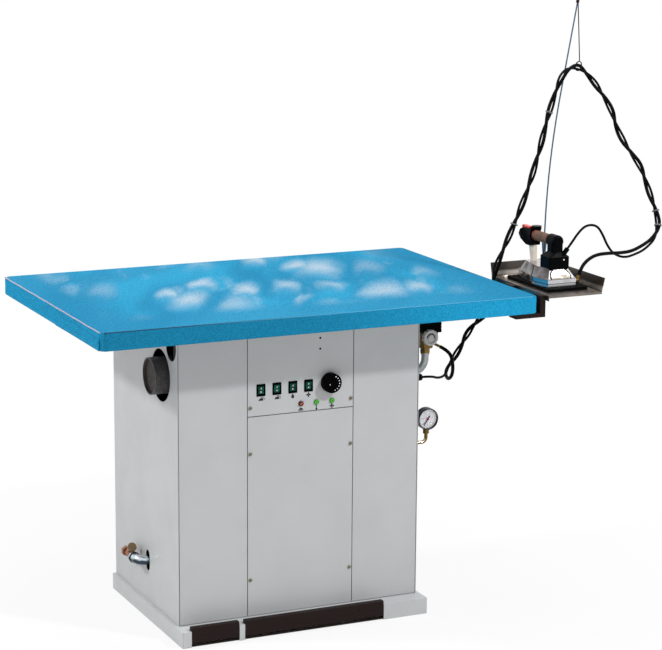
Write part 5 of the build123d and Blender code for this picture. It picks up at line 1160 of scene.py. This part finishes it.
class TABLE_OT_stage(bpy.types.Operator):
    """Floor, world, lamps and the camera at the photograph's viewpoint"""

    bl_idname = "ironing_table.stage"
    bl_label = "Stage"

    def execute(self, context):
        context.scene.view_settings.view_transform = "Standard"
        self.add_camera(context)
        self.add_world(context)
        self.add_floor(context)
        for name, place, target, size, power in LAMPS:
            self.add_lamp(context, name, place, target, size, power)
        return {"FINISHED"}

    def add_camera(self, context):
        """Camera that sees the table as the photograph does."""
        heading, tilt, roll = CAMERA_HEADING, CAMERA_TILT, CAMERA_ROLL
        forward = Vector((
            math.sin(heading) * math.cos(tilt), math.cos(heading) * math.cos(tilt), -math.sin(tilt),
        ))
        right = Vector((math.cos(heading), -math.sin(heading), 0))
        up = right.cross(forward)
        side = right * math.cos(roll) + up * math.sin(roll)
        top = up * math.cos(roll) - right * math.sin(roll)
        data = bpy.data.cameras.new("camera")
        data.sensor_fit = "HORIZONTAL"
        data.sensor_width = CAMERA_SENSOR
        data.lens = CAMERA_LENS
        data.clip_end = CAMERA_REACH
        camera = bpy.data.objects.new("camera", data)
        context.scene.collection.objects.link(camera)
        turn = Matrix((side, top, -forward)).transposed().to_4x4()
        camera.matrix_world = Matrix.Translation(CAMERA_PLACE) @ turn
        context.scene.camera = camera

    def add_world(self, context):
        """White where it is seen, and weaker as a light."""
        world = bpy.data.worlds.new("studio")
        context.scene.world = world
        sky = Nodes(world, "ShaderNodeOutputWorld")
        level = sky.ramp(sky.seen(), 0.0, 1.0, WORLD_LEVEL, 1.0)
        white = {"Color": (1, 1, 1, 1), "Strength": level}
        sky.close(sky.node("ShaderNodeBackground", {}, white))

    def add_floor(self, context):
        """Pale disc that glows where it is seen, and is plain matt under the plinth."""
        paint = Paint("floor")
        x, y, _ = paint.axes()
        away = paint.vector("LENGTH", paint.point(), key="Value")
        share = paint.seen() * paint.ramp(away, 0.7, 2.0, FLOOR_GLOW, 1.0)
        _, high, middle = span("plinth_base")
        beside = paint.maths("ABSOLUTE", x - middle.x) - (high.x - middle.x)
        before = paint.maths("ABSOLUTE", y - middle.y) - (high.y - middle.y)
        share = share * paint.ramp(paint.maths("MAXIMUM", beside, before), -0.02, 0.0)
        grit = paint.noise(40.0, 4.0)
        tone = paint.mix(grit, (0.9, 0.9, 0.9, 1), (0.94, 0.94, 0.94, 1))
        matt = paint.out(paint.node("ShaderNodeBsdfDiffuse", {}, {"Color": tone}))
        white = {"Color": (1, 1, 1, 1), "Strength": 1.0}
        glow = paint.out(paint.node("ShaderNodeEmission", {}, white))
        paint.close(paint.node("ShaderNodeMixShader", {}, {0: share, 1: matt, 2: glow}))
        form = bmesh.new()
        bmesh.ops.create_circle(form, cap_ends=True, segments=96, radius=FLOOR_RADIUS)
        mesh = to_mesh(form)
        mesh.materials.append(paint.owner)
        floor = bpy.data.objects.new("floor", mesh)
        floor.location.z = cad_box[0][2] - FLOOR_DROP
        context.scene.collection.objects.link(floor)

    def add_lamp(self, context, name, place, target, size, power):
        """Round soft lamp aimed at a target."""
        data = bpy.data.lights.new(name, "AREA")
        data.shape = "DISK"
        data.size = size
        data.energy = power
        lamp = bpy.data.objects.new(name, data)
        lamp.matrix_world = look_at(place, target)
        lamp.visible_camera = False
        context.scene.collection.objects.link(lamp)


def twisted(offset):
    """Route of one cord of the bundle: a quarter turn round its middle at each point."""
    points = [Vector(point) for point in BUNDLE]
    last = len(points) - 1
    route = []
    for index, point in enumerate(points):
        along = (points[min(index + 1, last)] - points[max(index - 1, 0)]).normalized()
        across = along.cross(Vector((0, 1, 0))).normalized()
        up = across.cross(along)
        turn = QUARTER * index
        route.append(point + (across * math.cos(turn) + up * math.sin(turn)) * offset)
    return route


def cord_route(start, middle, end):
    """Control points of a whole cord, in metres."""
    return [Vector(point) * MM for point in (*start, *middle, *end)]


class TABLE_OT_cords(bpy.types.Operator):
    """Steam hose and iron cable, twisted round each other and hung over the hook"""

    bl_idname = "ironing_table.cords"
    bl_label = "Cords"

    def execute(self, context):
        sizes = context.scene.table_sizes
        self.add_cord(
            "hose_line", "steam_hose", (HOSE_START, TWIST_OFFSET, HOSE_END),
            sizes.hose_diameter, HOSE_LENGTH, ["cable_ties"],
        )
        self.add_cord(
            "cable_line", "iron_cable", (CABLE_START, -TWIST_OFFSET, CABLE_END),
            sizes.cable_diameter, CABLE_LENGTH, [],
        )
        return {"FINISHED"}

    def add_cord(self, name, node, course, diameter, length, pieces):
        """One cord from its start, through the twisted bundle, to its end."""
        start, offset, end = course
        route = cord_route(start, twisted(offset), end)
        path = smooth_line(route)
        mesh = tube_mesh(path, diameter / 2, CORD_SIDES)
        piece = add_piece(name, mesh, "black_rubber", None)
        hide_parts(node)
        self.bend_along(piece, path, route[len(start)])

    def bend_along(self, piece, path, bound):
        """Lays the cord out straight along its own length, bakes its transform, and puts its points
        back.

        The cord is laid out straight for the call, because its route turns back on itself. The bound
        point is not used."""
        walked = [0.0]
        for before, point in zip(path, path[1:]):
            walked.append(walked[-1] + (point - before).length)
        vertices = piece.data.vertices
        if len(vertices) != CORD_SIDES * len(path):
            raise RuntimeError(f"{piece.name} has lost points of its rings")
        real = [vertex.co.copy() for vertex in vertices]
        for index, vertex in enumerate(vertices):
            vertex.co = (walked[index // CORD_SIDES], 0.0, 0.0)
        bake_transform(piece)
        for vertex, place in zip(vertices, real):
            vertex.co = place


def edge_places(low, high, fine, coarse, corner):
    """Grid places from low to high, closer together at both ends."""
    places = [low + corner * step / fine for step in range(fine)]
    inside = high - low - 2 * corner
    places += [low + corner + inside * step / coarse for step in range(coarse + 1)]
    places += [high - corner * (fine - step) / fine for step in range(1, fine + 1)]
    return places


def corner_rounded(x, y, low, high, radius):
    """Moves a grid point of a rectangle so that the rectangle's corners become arcs."""
    cx = min(max(x, low.x + radius), high.x - radius)
    cy = min(max(y, low.y + radius), high.y - radius)
    u = (x - cx) / radius
    v = (y - cy) / radius
    return cx + radius * u * math.sqrt(1 - v * v / 2), cy + radius * v * math.sqrt(1 - u * u / 2)


class TABLE_OT_cover(bpy.types.Operator):
    """Stretched cotton cover with its hem, lap, piping and seam"""

    bl_idname = "ironing_table.cover"
    bl_label = "Cover"

    def execute(self, context):
        sizes = context.scene.table_sizes
        self.add_cover(sizes)
        self.add_lap()
        self.add_piping(sizes)
        self.add_seam()
        return {"FINISHED"}

    def wave(self, point, sizes):
        """Height of the soft unevenness at a point of the top, nothing at the rim."""
        edge = min(
            point.x - COVER_LOW.x, COVER_HIGH.x - point.x,
            point.y - COVER_LOW.y, COVER_HIGH.y - point.y,
        )
        inside = min(1.0, max(0.0, edge / WAVE_BORDER))
        soft = noise.noise(Vector((point.x * WAVES[0], point.y * WAVES[1], 0.4)))
        return sizes.cover_wave * (0.5 * soft - 0.5) * inside

    def add_cover(self, sizes):
        """Softly uneven top, rounded over its edge, with straight sides and a hem below."""
        radius = sizes.cover_edge
        corner = sizes.cover_corner
        low, high = COVER_LOW, COVER_HIGH
        inner_low = low + Vector((radius, radius, 0))
        inner_high = high - Vector((radius, radius, 0))
        xs = edge_places(inner_low.x, inner_high.x, 4, 68, corner)
        ys = edge_places(inner_low.y, inner_high.y, 4, 46, corner)
        form = bmesh.new()
        grid = []
        for y in ys:
            row = []
            for x in xs:
                px, py = corner_rounded(x, y, inner_low, inner_high, corner - radius)
                point = Vector((px, py, high.z))
                point.z += self.wave(point, sizes)
                row.append(form.verts.new(point))
            grid.append(row)
        fill_grid(form, grid)
        rim = grid_rim(grid)
        outward = self.outward(rim, inner_low, inner_high, corner - radius)
        ring = rim
        for reach, drop in self.side_profile(sizes, high.z - low.z):
            following = []
            for vertex, way in zip(rim, outward):
                place = vertex.co + way * reach
                place = place + way * self.side_bulge(place, drop, high.z - low.z)
                following.append(form.verts.new((place.x, place.y, high.z - drop)))
            join_rings(form, ring, following)
            ring = following
        thick = {"thickness": sizes.cover_thickness, "offset": -1.0}
        mesh = with_modifiers(to_mesh(form), ("SUBSURF", {"levels": 1}), ("SOLIDIFY", thick))
        for face in mesh.polygons:
            face.use_smooth = True
        cover = add_piece("cotton_cover", mesh, "blue_cloth", "cabinet")
        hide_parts("cloth_cover")

    def outward(self, rim, low, high, radius):
        """Direction straight out of the rim at each of its points."""
        ways = []
        for vertex in rim:
            x = min(max(vertex.co.x, low.x + radius), high.x - radius)
            y = min(max(vertex.co.y, low.y + radius), high.y - radius)
            way = Vector((vertex.co.x - x, vertex.co.y - y, 0))
            ways.append(way.normalized())
        return ways

    def side_profile(self, sizes, height):
        """Reach and drop of each ring, from the rim over the edge to the inner hem."""
        radius = sizes.cover_edge
        fold = HEM_FOLD
        steps = []
        for k in range(1, 6):
            turn = QUARTER * k / 5
            steps.append((radius * math.sin(turn), radius * (1 - math.cos(turn))))
        for k in range(1, 9):
            steps.append((radius, radius + (height - radius - fold) * k / 8))
        for k in range(1, 4):
            turn = QUARTER * k / 3
            reach = radius - fold + fold * math.cos(turn)
            steps.append((reach, height - fold + fold * math.sin(turn)))
        for k in range(1, 5):
            steps.append((radius - fold - (sizes.cover_hem - fold) * k / 4, height))
        return steps

    def side_bulge(self, place, drop, height):
        """Small drawn-in waves on the sides, where the cover is pulled under the board."""
        share = math.sin(math.pi * min(1.0, drop / height))
        soft = noise.noise(Vector((place.x * 9, place.y * 9, 2.7)))
        return -SIDE_PULL * share * (0.5 + 0.5 * soft)

    def add_lap(self):
        """End of the cover that laps over the left side, with its curved rear edge."""
        x = COVER_LOW.x + 0.0004
        upper = smooth_line([Vector((x, y, z)) for y, z in LAP_TOP], 10)
        edge = smooth_line([Vector((x, y, z)) for y, z in LAP_REAR], 10)
        front = LAP_TOP[0][0]
        form = bmesh.new()
        grid = []
        for index, head in enumerate(upper):
            share = index / (len(upper) - 1)
            foot = Vector((x, front + (edge[-1].y - front) * share, LAP_FOOT))
            pull = share ** 6
            row = []
            for step in range(LAP_ROWS):
                down = step / (LAP_ROWS - 1)
                side = edge[round(down * (len(edge) - 1))]
                place = head.lerp(foot, down)
                place.y += (side.y - (head.y + (foot.y - head.y) * down)) * pull
                place.z += (side.z - place.z) * pull
                place.x -= 0.0004 * noise.noise(Vector((place.y * 14, place.z * 20, 0)))
                row.append(form.verts.new(place))
            grid.append(row)
        fill_grid(form, grid)
        thick = {"thickness": LAP_THICKNESS, "offset": 0.0}
        mesh = with_modifiers(to_mesh(form), ("SOLIDIFY", thick))
        lap = add_piece("cover_lap", mesh, "blue_cloth", "cabinet")

    def add_piping(self, sizes):
        """Pale piping sewn into the left top edge."""
        out = COVER_LOW.x + PIPING_INSET[0]
        top = COVER_HIGH.z - PIPING_INSET[1]
        ends = (COVER_LOW.y + 0.010, COVER_HIGH.y - 0.010)
        path = []
        for step in range(61):
            share = step / 60
            y = ends[0] + (ends[1] - ends[0]) * share
            path.append(Vector((out, y, top + 0.0003 * math.sin(share * 40))))
        mesh = tube_mesh(path, sizes.piping_radius, 10)
        add_piece("cover_piping", mesh, "piping", "cabinet")

    def add_seam(self):
        """Sewn seam along the front top edge."""
        front = COVER_LOW.y + SEAM_INSET[0]
        top = COVER_HIGH.z - SEAM_INSET[1]
        left = COVER_LOW.x + 0.012
        length = COVER_HIGH.x - COVER_LOW.x - 0.03
        path = [Vector((left + length * step / 80, front, top)) for step in range(81)]
        mesh = tube_mesh(path, SEAM_RADIUS, 8)
        add_piece("front_seam", mesh, "seam", "cabinet")


class TABLE_OT_padding(bpy.types.Operator):
    """Foam slab under the cover"""

    bl_idname = "ironing_table.padding"
    bl_label = "Padding"

    def execute(self, context):
        sizes = context.scene.table_sizes
        inset = Vector((FOAM_INSET, FOAM_INSET, 0))
        low = FOAM_LOW + inset
        high = FOAM_HIGH - inset
        corner = sizes.cover_corner - FOAM_INSET
        form = bmesh.new()
        layers = (
            (low.z, 0.0), (high.z - 0.004, 0.0),
            (high.z - 0.0012, 0.0012), (high.z - 0.0008, 0.004),
        )
        rims = []
        for z, shrink in layers:
            grid = self.layer(low, high, corner, z, shrink)
            if z in (layers[0][0], layers[-1][0]):
                made = [[form.verts.new(point) for point in row] for row in grid]
                fill_grid(form, made)
                rims.append(grid_rim(made))
            else:
                rims.append([form.verts.new(point) for point in grid_rim(grid)])
        for lower, upper in zip(rims, rims[1:]):
            join_rings(form, lower, upper)
        slab = add_piece("foam_slab", to_mesh(form), "foam", "cabinet")
        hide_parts("foam_pad")
        return {"FINISHED"}

    def layer(self, low, high, corner, z, shrink):
        """Grid of points of the slab at one height, drawn in by a share of its size."""
        grid = []
        for y in edge_places(low.y, high.y, 3, 28, corner):
            row = []
            for x in edge_places(low.x, high.x, 3, 40, corner):
                px, py = corner_rounded(x, y, low, high, corner)
                px = COVER_MIDDLE.x + (px - COVER_MIDDLE.x) * (1 - shrink)
                py = COVER_MIDDLE.y + (py - COVER_MIDDLE.y) * (1 - shrink)
                row.append(Vector((px, py, z)))
            grid.append(row)
        return grid


def iron_sign(form, place, low, high):
    """Simple drawing of an iron."""
    body = [
        (-0.0042, -0.002), (0.0040, -0.002), (0.0040, 0.0012), (0.0012, 0.0022),
        (-0.0022, 0.0012),
    ]
    plate(form, body, low, high, place)
    plate(form, stroke((-0.0002, 0.0032), (0.0036, 0.0032), 0.0008), low, high, place)
    plate(form, stroke((0.0037, 0.0032), (0.0037, 0.0014), 0.0008), low, high, place)


def drop_sign(form, place, low, high):
    """Simple drawing of a drop."""
    points = []
    for step in range(20):
        turn = 2 * math.pi * step / 20
        round_off = (0.5 - 0.5 * math.cos(turn)) ** 0.55
        points.append((0.0033 * math.sin(turn) * round_off, 0.0036 * math.cos(turn) + 0.0004))
    plate(form, points, low, high, place)


def fan_sign(form, place, low, high):
    """Simple drawing of a fan with four blades."""
    for blade in range(4):
        turned = place @ Matrix.Rotation(QUARTER * blade, 4, "Z")
        plate(form, disc(0.0016, 14, (0.0022, 0.0), 0.8125), low, high, turned)
    plate(form, disc(0.0008, 12), low, high, place)


def vessel_sign(form, place, low, high):
    """Simple drawing of a domed vessel on its foot."""
    half = [(x, y) for x, y in disc(0.0034, 24, (0.0, -0.0014), 0.9) if y > -0.00145]
    plate(form, half, low, high, place)
    plate(form, stroke((-0.0038, -0.0022), (0.0038, -0.0022), 0.0009), low, high, place)


def heat_sign(form, place, low, high):
    """Simple drawing of a thermometer."""
    plate(form, disc(0.0016, 14, (0.0, -0.0024)), low, high, place)
    plate(form, stroke((0.0, -0.002), (0.0, 0.0034), 0.0015), low, high, place)


def digit_sign(form, place, low, high, number):
    """Small number one or two, beside the drawing of an iron."""
    strokes = {
        1: (((0.0, -0.0016), (0.0, 0.0016)), ((-0.0006, 0.0009), (0.0, 0.0016))),
        2: (((-0.0007, 0.0012), (0.0, 0.0016)), ((0.0, 0.0016), (0.0007, 0.0009)),
            ((0.0007, 0.0009), (-0.0007, -0.0016)), ((-0.0007, -0.0016), (0.0008, -0.0016))),
    }
    for start, end in strokes[number]:
        plate(form, stroke(start, end, 0.0005), low, high, place)


class TABLE_OT_panel_marks(bpy.types.Operator):
    """Drawings under the switches and lamps, marks on rockers, dots on the dial"""

    bl_idname = "ironing_table.panel_marks"
    bl_label = "Panel marks"

    def execute(self, context):
        sizes = context.scene.table_sizes
        self.add_signs(sizes)
        self.add_rocker_marks(sizes)
        self.add_dial_dots(sizes)
        self.add_hole_shades()
        self.add_screw_slots(sizes)
        return {"FINISHED"}

    def add_signs(self, sizes):
        """Drawings under the four switches and the three lamps."""
        thick = sizes.mark_height
        form = bmesh.new()
        for index, name in enumerate(ROCKERS):
            middle = span(name)[2]
            place = front_matrix(middle.x, PANEL_FRONT, middle.z - SIGN_DROP, SIGN_SCALE)
            if index < 2:
                iron_sign(form, place, 0.0, thick)
                beside = place @ Matrix.Translation((0.0060, 0.0004, 0.0))
                digit_sign(form, beside, 0.0, thick, index + 1)
            elif index == 2:
                drop_sign(form, place, 0.0, thick)
            else:
                fan_sign(form, place, 0.0, thick)
        for x, sign in zip(LAMP_PLACES, (vessel_sign, heat_sign, fan_sign)):
            sign(form, front_matrix(x, PANEL_FRONT, LAMP_SIGN_Z, SIGN_SCALE), 0.0, thick)
        mesh = to_mesh(form, False)
        add_piece("panel_signs", mesh, "ink", "cabinet")

    def add_hole_shades(self):
        """Dark domed discs in the two small holes over the dial: painted shade of the holes' inside.
        """
        form = bmesh.new()
        for z in HOLE_SHADE_ZS:
            centre = Vector((HOLE_SHADE_X, PANEL_FRONT, z))
            path = [centre + Vector((0, y, 0)) for y in (0.0008, -0.0002, -0.0007, -0.0010)]
            sweep(form, path, [HOLE_SHADE_RADIUS * share for share in (1.0, 1.0, 0.75, 0.25)], 20)
        add_piece("hole_shades", to_mesh(form), "black_plastic", "cabinet")

    def add_screw_slots(self, sizes):
        """Painted shade of the slots in the heads of the panel screws, as dark plates."""
        form = bmesh.new()
        reach, rise = SLOT_REACH
        outline = stroke((-reach, -rise), (reach, rise), SLOT_WIDTH)
        for z in SCREW_ZS:
            for x in (-SCREW_X, SCREW_X):
                point, _ = front_touch("panel_screws", x, z)
                # Each slot is a dark plate: painted shade of its recess.
                plate(form, outline, -SINK, sizes.mark_height, front_matrix(*point))
        add_piece("screw_slots", to_mesh(form, False), "ink", "cabinet")

    def add_rocker_marks(self, sizes):
        """A stroke at the top and a spot at the foot of each rocker."""
        marks = (
            ("upper", ROCKER_MARK, stroke((0, -0.0020), (0, 0.0020), 0.0014), "white_ink"),
            ("lower", -ROCKER_MARK, disc(0.0018, 16), "pink_ink"),
        )
        for name in ROCKERS:
            middle = span(name)[2]
            for part, height, outline, finish in marks:
                point, normal = front_touch(name, middle.x, middle.z + height)
                turn = normal.to_track_quat("Z", "Y").to_matrix().to_4x4()
                form = bmesh.new()
                place = Matrix.Translation(point) @ turn
                plate(form, outline, -SINK / 2, sizes.mark_height, place)
                piece = f"{name}_{part}_mark"
                add_piece(piece, to_mesh(form, False), finish, name)

    def add_dial_dots(self, sizes):
        """Dots round the dial, each a little smaller, and one by its middle."""
        form = bmesh.new()
        ring = arc_points(DIAL_RING, *DIAL_ANGLES, DIAL_DOTS - 1)
        dots = [(x, z, disc(0.0016 - 0.00005 * index, 14)) for index, (x, z) in enumerate(ring)]
        dots.append((-0.008, -0.003, disc(0.0013, 12)))
        for x, z, outline in dots:
            point, _ = front_touch("dial_knob", DIAL_MIDDLE.x + x, DIAL_MIDDLE.z + z)
            plate(form, outline, -SINK, sizes.mark_height, front_matrix(*point))
        add_piece("dial_dots", to_mesh(form, False), "white_ink", "dial")


class TABLE_OT_gauge_face(bpy.types.Operator):
    """White face of the pressure gauge, with its scale and the needle's hub"""

    bl_idname = "ironing_table.gauge_face"
    bl_label = "Gauge face"

    def execute(self, context):
        radius = (GAUGE_HIGH.x - GAUGE_LOW.x) / 2 - FACE_MARGIN
        x, z = GAUGE_MIDDLE.x, GAUGE_MIDDLE.z
        back, _ = front_touch("gauge_case", x + 0.6 * radius, z + 0.3 * radius)
        place = front_matrix(x, back.y, z)
        form = bmesh.new()
        plate(form, disc(radius, 64), 0.0, FACE_THICKNESS, place)
        add_piece("gauge_face", to_mesh(form, False), "enamel", "cabinet")
        self.add_scale(radius, place)
        self.add_needle(radius, x, z)
        return {"FINISHED"}

    def add_scale(self, radius, place):
        """Strokes of the scale, with long red ones at its numbers and spots beside them."""
        black, red = bmesh.new(), bmesh.new()
        strokes = arc_points(radius, *SCALE_ANGLES, SCALE_STEPS)
        for index, (x, y) in enumerate(strokes):
            long = index % LONG_EVERY == 0
            inner = SCALE_LONG if long else SCALE_SHORT
            width = 0.0007 if long else 0.0004
            start, end = (x * inner, y * inner), (x * SCALE_OUTER, y * SCALE_OUTER)
            form = red if long or index > RED_AFTER else black
            plate(form, stroke(start, end, width), FACE_THICKNESS, PRINT_HEIGHT, place)
            if long:
                spot = disc(0.0011, 10, (x * SCALE_DOTS, y * SCALE_DOTS))
                plate(red, spot, FACE_THICKNESS, PRINT_HEIGHT, place)
        add_piece("gauge_scale_black", to_mesh(black, False), "ink", "cabinet")
        add_piece("gauge_scale_red", to_mesh(red, False), "red_ink", "cabinet")

    def add_needle(self, radius, x, z):
        """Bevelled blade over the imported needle, and its red hub."""
        low = span("gauge_needle")[0]
        tip = Vector((low.x - x, low.z - z)).normalized() * radius
        blade = bmesh.new()
        outline = stroke(tuple(tip * -0.34), tuple(tip * 0.72), 0.0028)
        plate(blade, outline, 0.0, 0.0005, front_matrix(x, low.y, z))
        mesh = with_modifiers(to_mesh(blade, False), ("BEVEL", {"width": 0.0001, "segments": 1}))
        add_piece("needle_blade", mesh, "needle_paint", "gauge_needle")
        hub = bmesh.new()
        plate(hub, disc(0.0040, 24), -0.0008, 0.0006, front_matrix(x, low.y + 0.0004, z))
        mesh = with_modifiers(to_mesh(hub), ("BEVEL", {"width": 0.0003, "segments": 2}))
        add_piece("needle_hub", mesh, "red_ink", "gauge_needle")


class TABLE_OT_iron_trim(bpy.types.Operator):
    """Arched plate on the iron's heel, its screw and the red ring of its grip"""

    bl_idname = "ironing_table.iron_trim"
    bl_label = "Iron trim"

    def execute(self, context):
        self.add_arch()
        self.add_screw()
        self.add_ring()
        return {"FINISHED"}

    def add_arch(self):
        """Plate on the sloping heel, with a dark trim round its arch."""
        x = SHELL_MIDDLE.x + ARCH_SHIFT
        point, normal = front_touch("iron_cover", x, HEEL_FOOT + ARCH_TOUCH)
        slope = normal.cross(Vector((1, 0, 0))).normalized()
        base = point - slope * ((point.z - HEEL_FOOT) / slope.z)
        place = facet_matrix(base, normal)
        width, height = ARCH_SIZE
        arch = []
        for step in range(33):
            turn = math.pi * step / 32
            arch.append((width * math.cos(turn), 0.0012 + height * math.sin(turn) ** 0.7))
        form = bmesh.new()
        plate(form, arch, -SINK, 0.0012, place)
        mesh = with_modifiers(to_mesh(form, False), ("BEVEL", {"width": 0.0004, "segments": 2}))
        add_piece("heel_plate", mesh, "heel_steel", "iron")
        path = [place @ Vector((px, py, 0.0006)) for px, py in arch]
        add_piece("heel_trim", tube_mesh(path, 0.0019, 10), "ink", "iron")

    def add_screw(self):
        """Domed screw at the foot of the tower."""
        right, above = SCREW_PLACE
        point, _ = front_touch("iron_handle", SHELL_MIDDLE.x + right, SHELL_HIGH.z + above)
        path = [point + Vector((0, y, 0)) for y in (0.0006, -0.0003, -0.0008)]
        mesh = tube_mesh(path, [0.0024, 0.0024, 0.0014], 18)
        add_piece("tower_screw", mesh, "enamel", "iron")

    def add_ring(self):
        """Red ring round the end of the grip."""
        low, high, middle = span("iron_grip")
        reach = (high.z - low.z) / 2 + 0.0006
        path = [Vector((middle.x, high.y - back, middle.z)) for back in RING_BACK]
        mesh = tube_mesh(path, [reach * share for share in RING_SHARES], 32)
        add_piece("grip_ring", mesh, "grip_red", "iron")


class TABLE_OT_knob_shade(bpy.types.Operator):
    """Painted shadow in the dish of the steam knob, as a dark arc"""

    bl_idname = "ironing_table.knob_groove"
    bl_label = "Knob shade"

    def execute(self, context):
        middle = span("steam_knob")[2]
        inner, outer = KNOB_SHADE_RADII
        first, last = KNOB_ANGLES
        point, _ = front_touch("steam_knob", middle.x + (inner + outer) / 2, middle.z)
        outline = arc_points(outer, first, last, 24) + arc_points(inner, last, first, 24)
        form = bmesh.new()
        # A dark arc plate: painted shadow of the dish's rim.
        plate(form, outline, -0.0003, 0.0003, front_matrix(middle.x, point.y, middle.z))
        add_piece("knob_shade", to_mesh(form, False), "ink", "steam_knob")
        return {"FINISHED"}


class TABLE_OT_louvre_gauze(bpy.types.Operator):
    """Dark dust gauze in its folded rims, behind the louvres of the back panel"""

    bl_idname = "ironing_table.louvre_gauze"
    bl_label = "Louvre gauze"

    def execute(self, context):
        foot, head = GAUZE_EDGES
        back = first_touch("rear_panel", (0.0, 0.0, (foot + head) / 2))[0].y
        place = Matrix.Translation((0, back - SINK, 0)) @ Matrix.Rotation(QUARTER, 4, "X")
        for side, name in ((-1, "gauze_left"), (1, "gauze_right")):
            low = Vector((side * GAUZE_MIDDLE - GAUZE_HALF, foot, 0))
            high = Vector((side * GAUZE_MIDDLE + GAUZE_HALF, head, 0))
            outline = rounded_outline(low, high, GAUZE_CORNER, 4)
            form = bmesh.new()
            plate(form, outline, 0.0, GAUZE_THICKNESS, place)
            rim = [place @ Vector((p.x, p.y, GAUZE_RIM)) for p in outline]
            sweep(form, rim, GAUZE_RIM, 8, True)
            add_piece(name, to_mesh(form, False), "gauze", "cabinet")
        return {"FINISHED"}


class TABLE_PT_sidebar(bpy.types.Panel):
    """Lists the operators and the values of the table"""

    bl_idname = "TABLE_PT_sidebar"
    bl_label = "Ironing Table"
    bl_space_type = "VIEW_3D"
    bl_region_type = "UI"
    bl_category = "Ironing Table"

    def draw(self, context):
        layout = self.layout
        for operator in OPERATORS:
            layout.operator(operator.bl_idname)
        for group in (context.scene.table_sizes, context.scene.table_look):
            for name in group.__annotations__:
                layout.prop(group, name)


OPERATORS = (
    TABLE_OT_stage,
    TABLE_OT_finishes,
    TABLE_OT_cords,
    TABLE_OT_padding,
    TABLE_OT_cover,
    TABLE_OT_panel_marks,
    TABLE_OT_gauge_face,
    TABLE_OT_iron_trim,
    TABLE_OT_knob_shade,
    TABLE_OT_louvre_gauze,
)
CLASSES = (TableSizes, TableLook, *OPERATORS, TABLE_PT_sidebar)


def register():
    """Registers the classes and their values on the scene."""
    for item in CLASSES:
        bpy.utils.register_class(item)
    bpy.types.Scene.table_sizes = PointerProperty(type=TableSizes)
    bpy.types.Scene.table_look = PointerProperty(type=TableLook)


def unregister():
    """Takes back what register did."""
    del bpy.types.Scene.table_look
    del bpy.types.Scene.table_sizes
    for item in reversed(CLASSES):
        bpy.utils.unregister_class(item)


def main():
    """Runs every operator."""
    register()
    for operator in OPERATORS:
        group, name = operator.bl_idname.split(".")
        getattr(getattr(bpy.ops, group), name)()


if __name__ == "__main__":
    main()
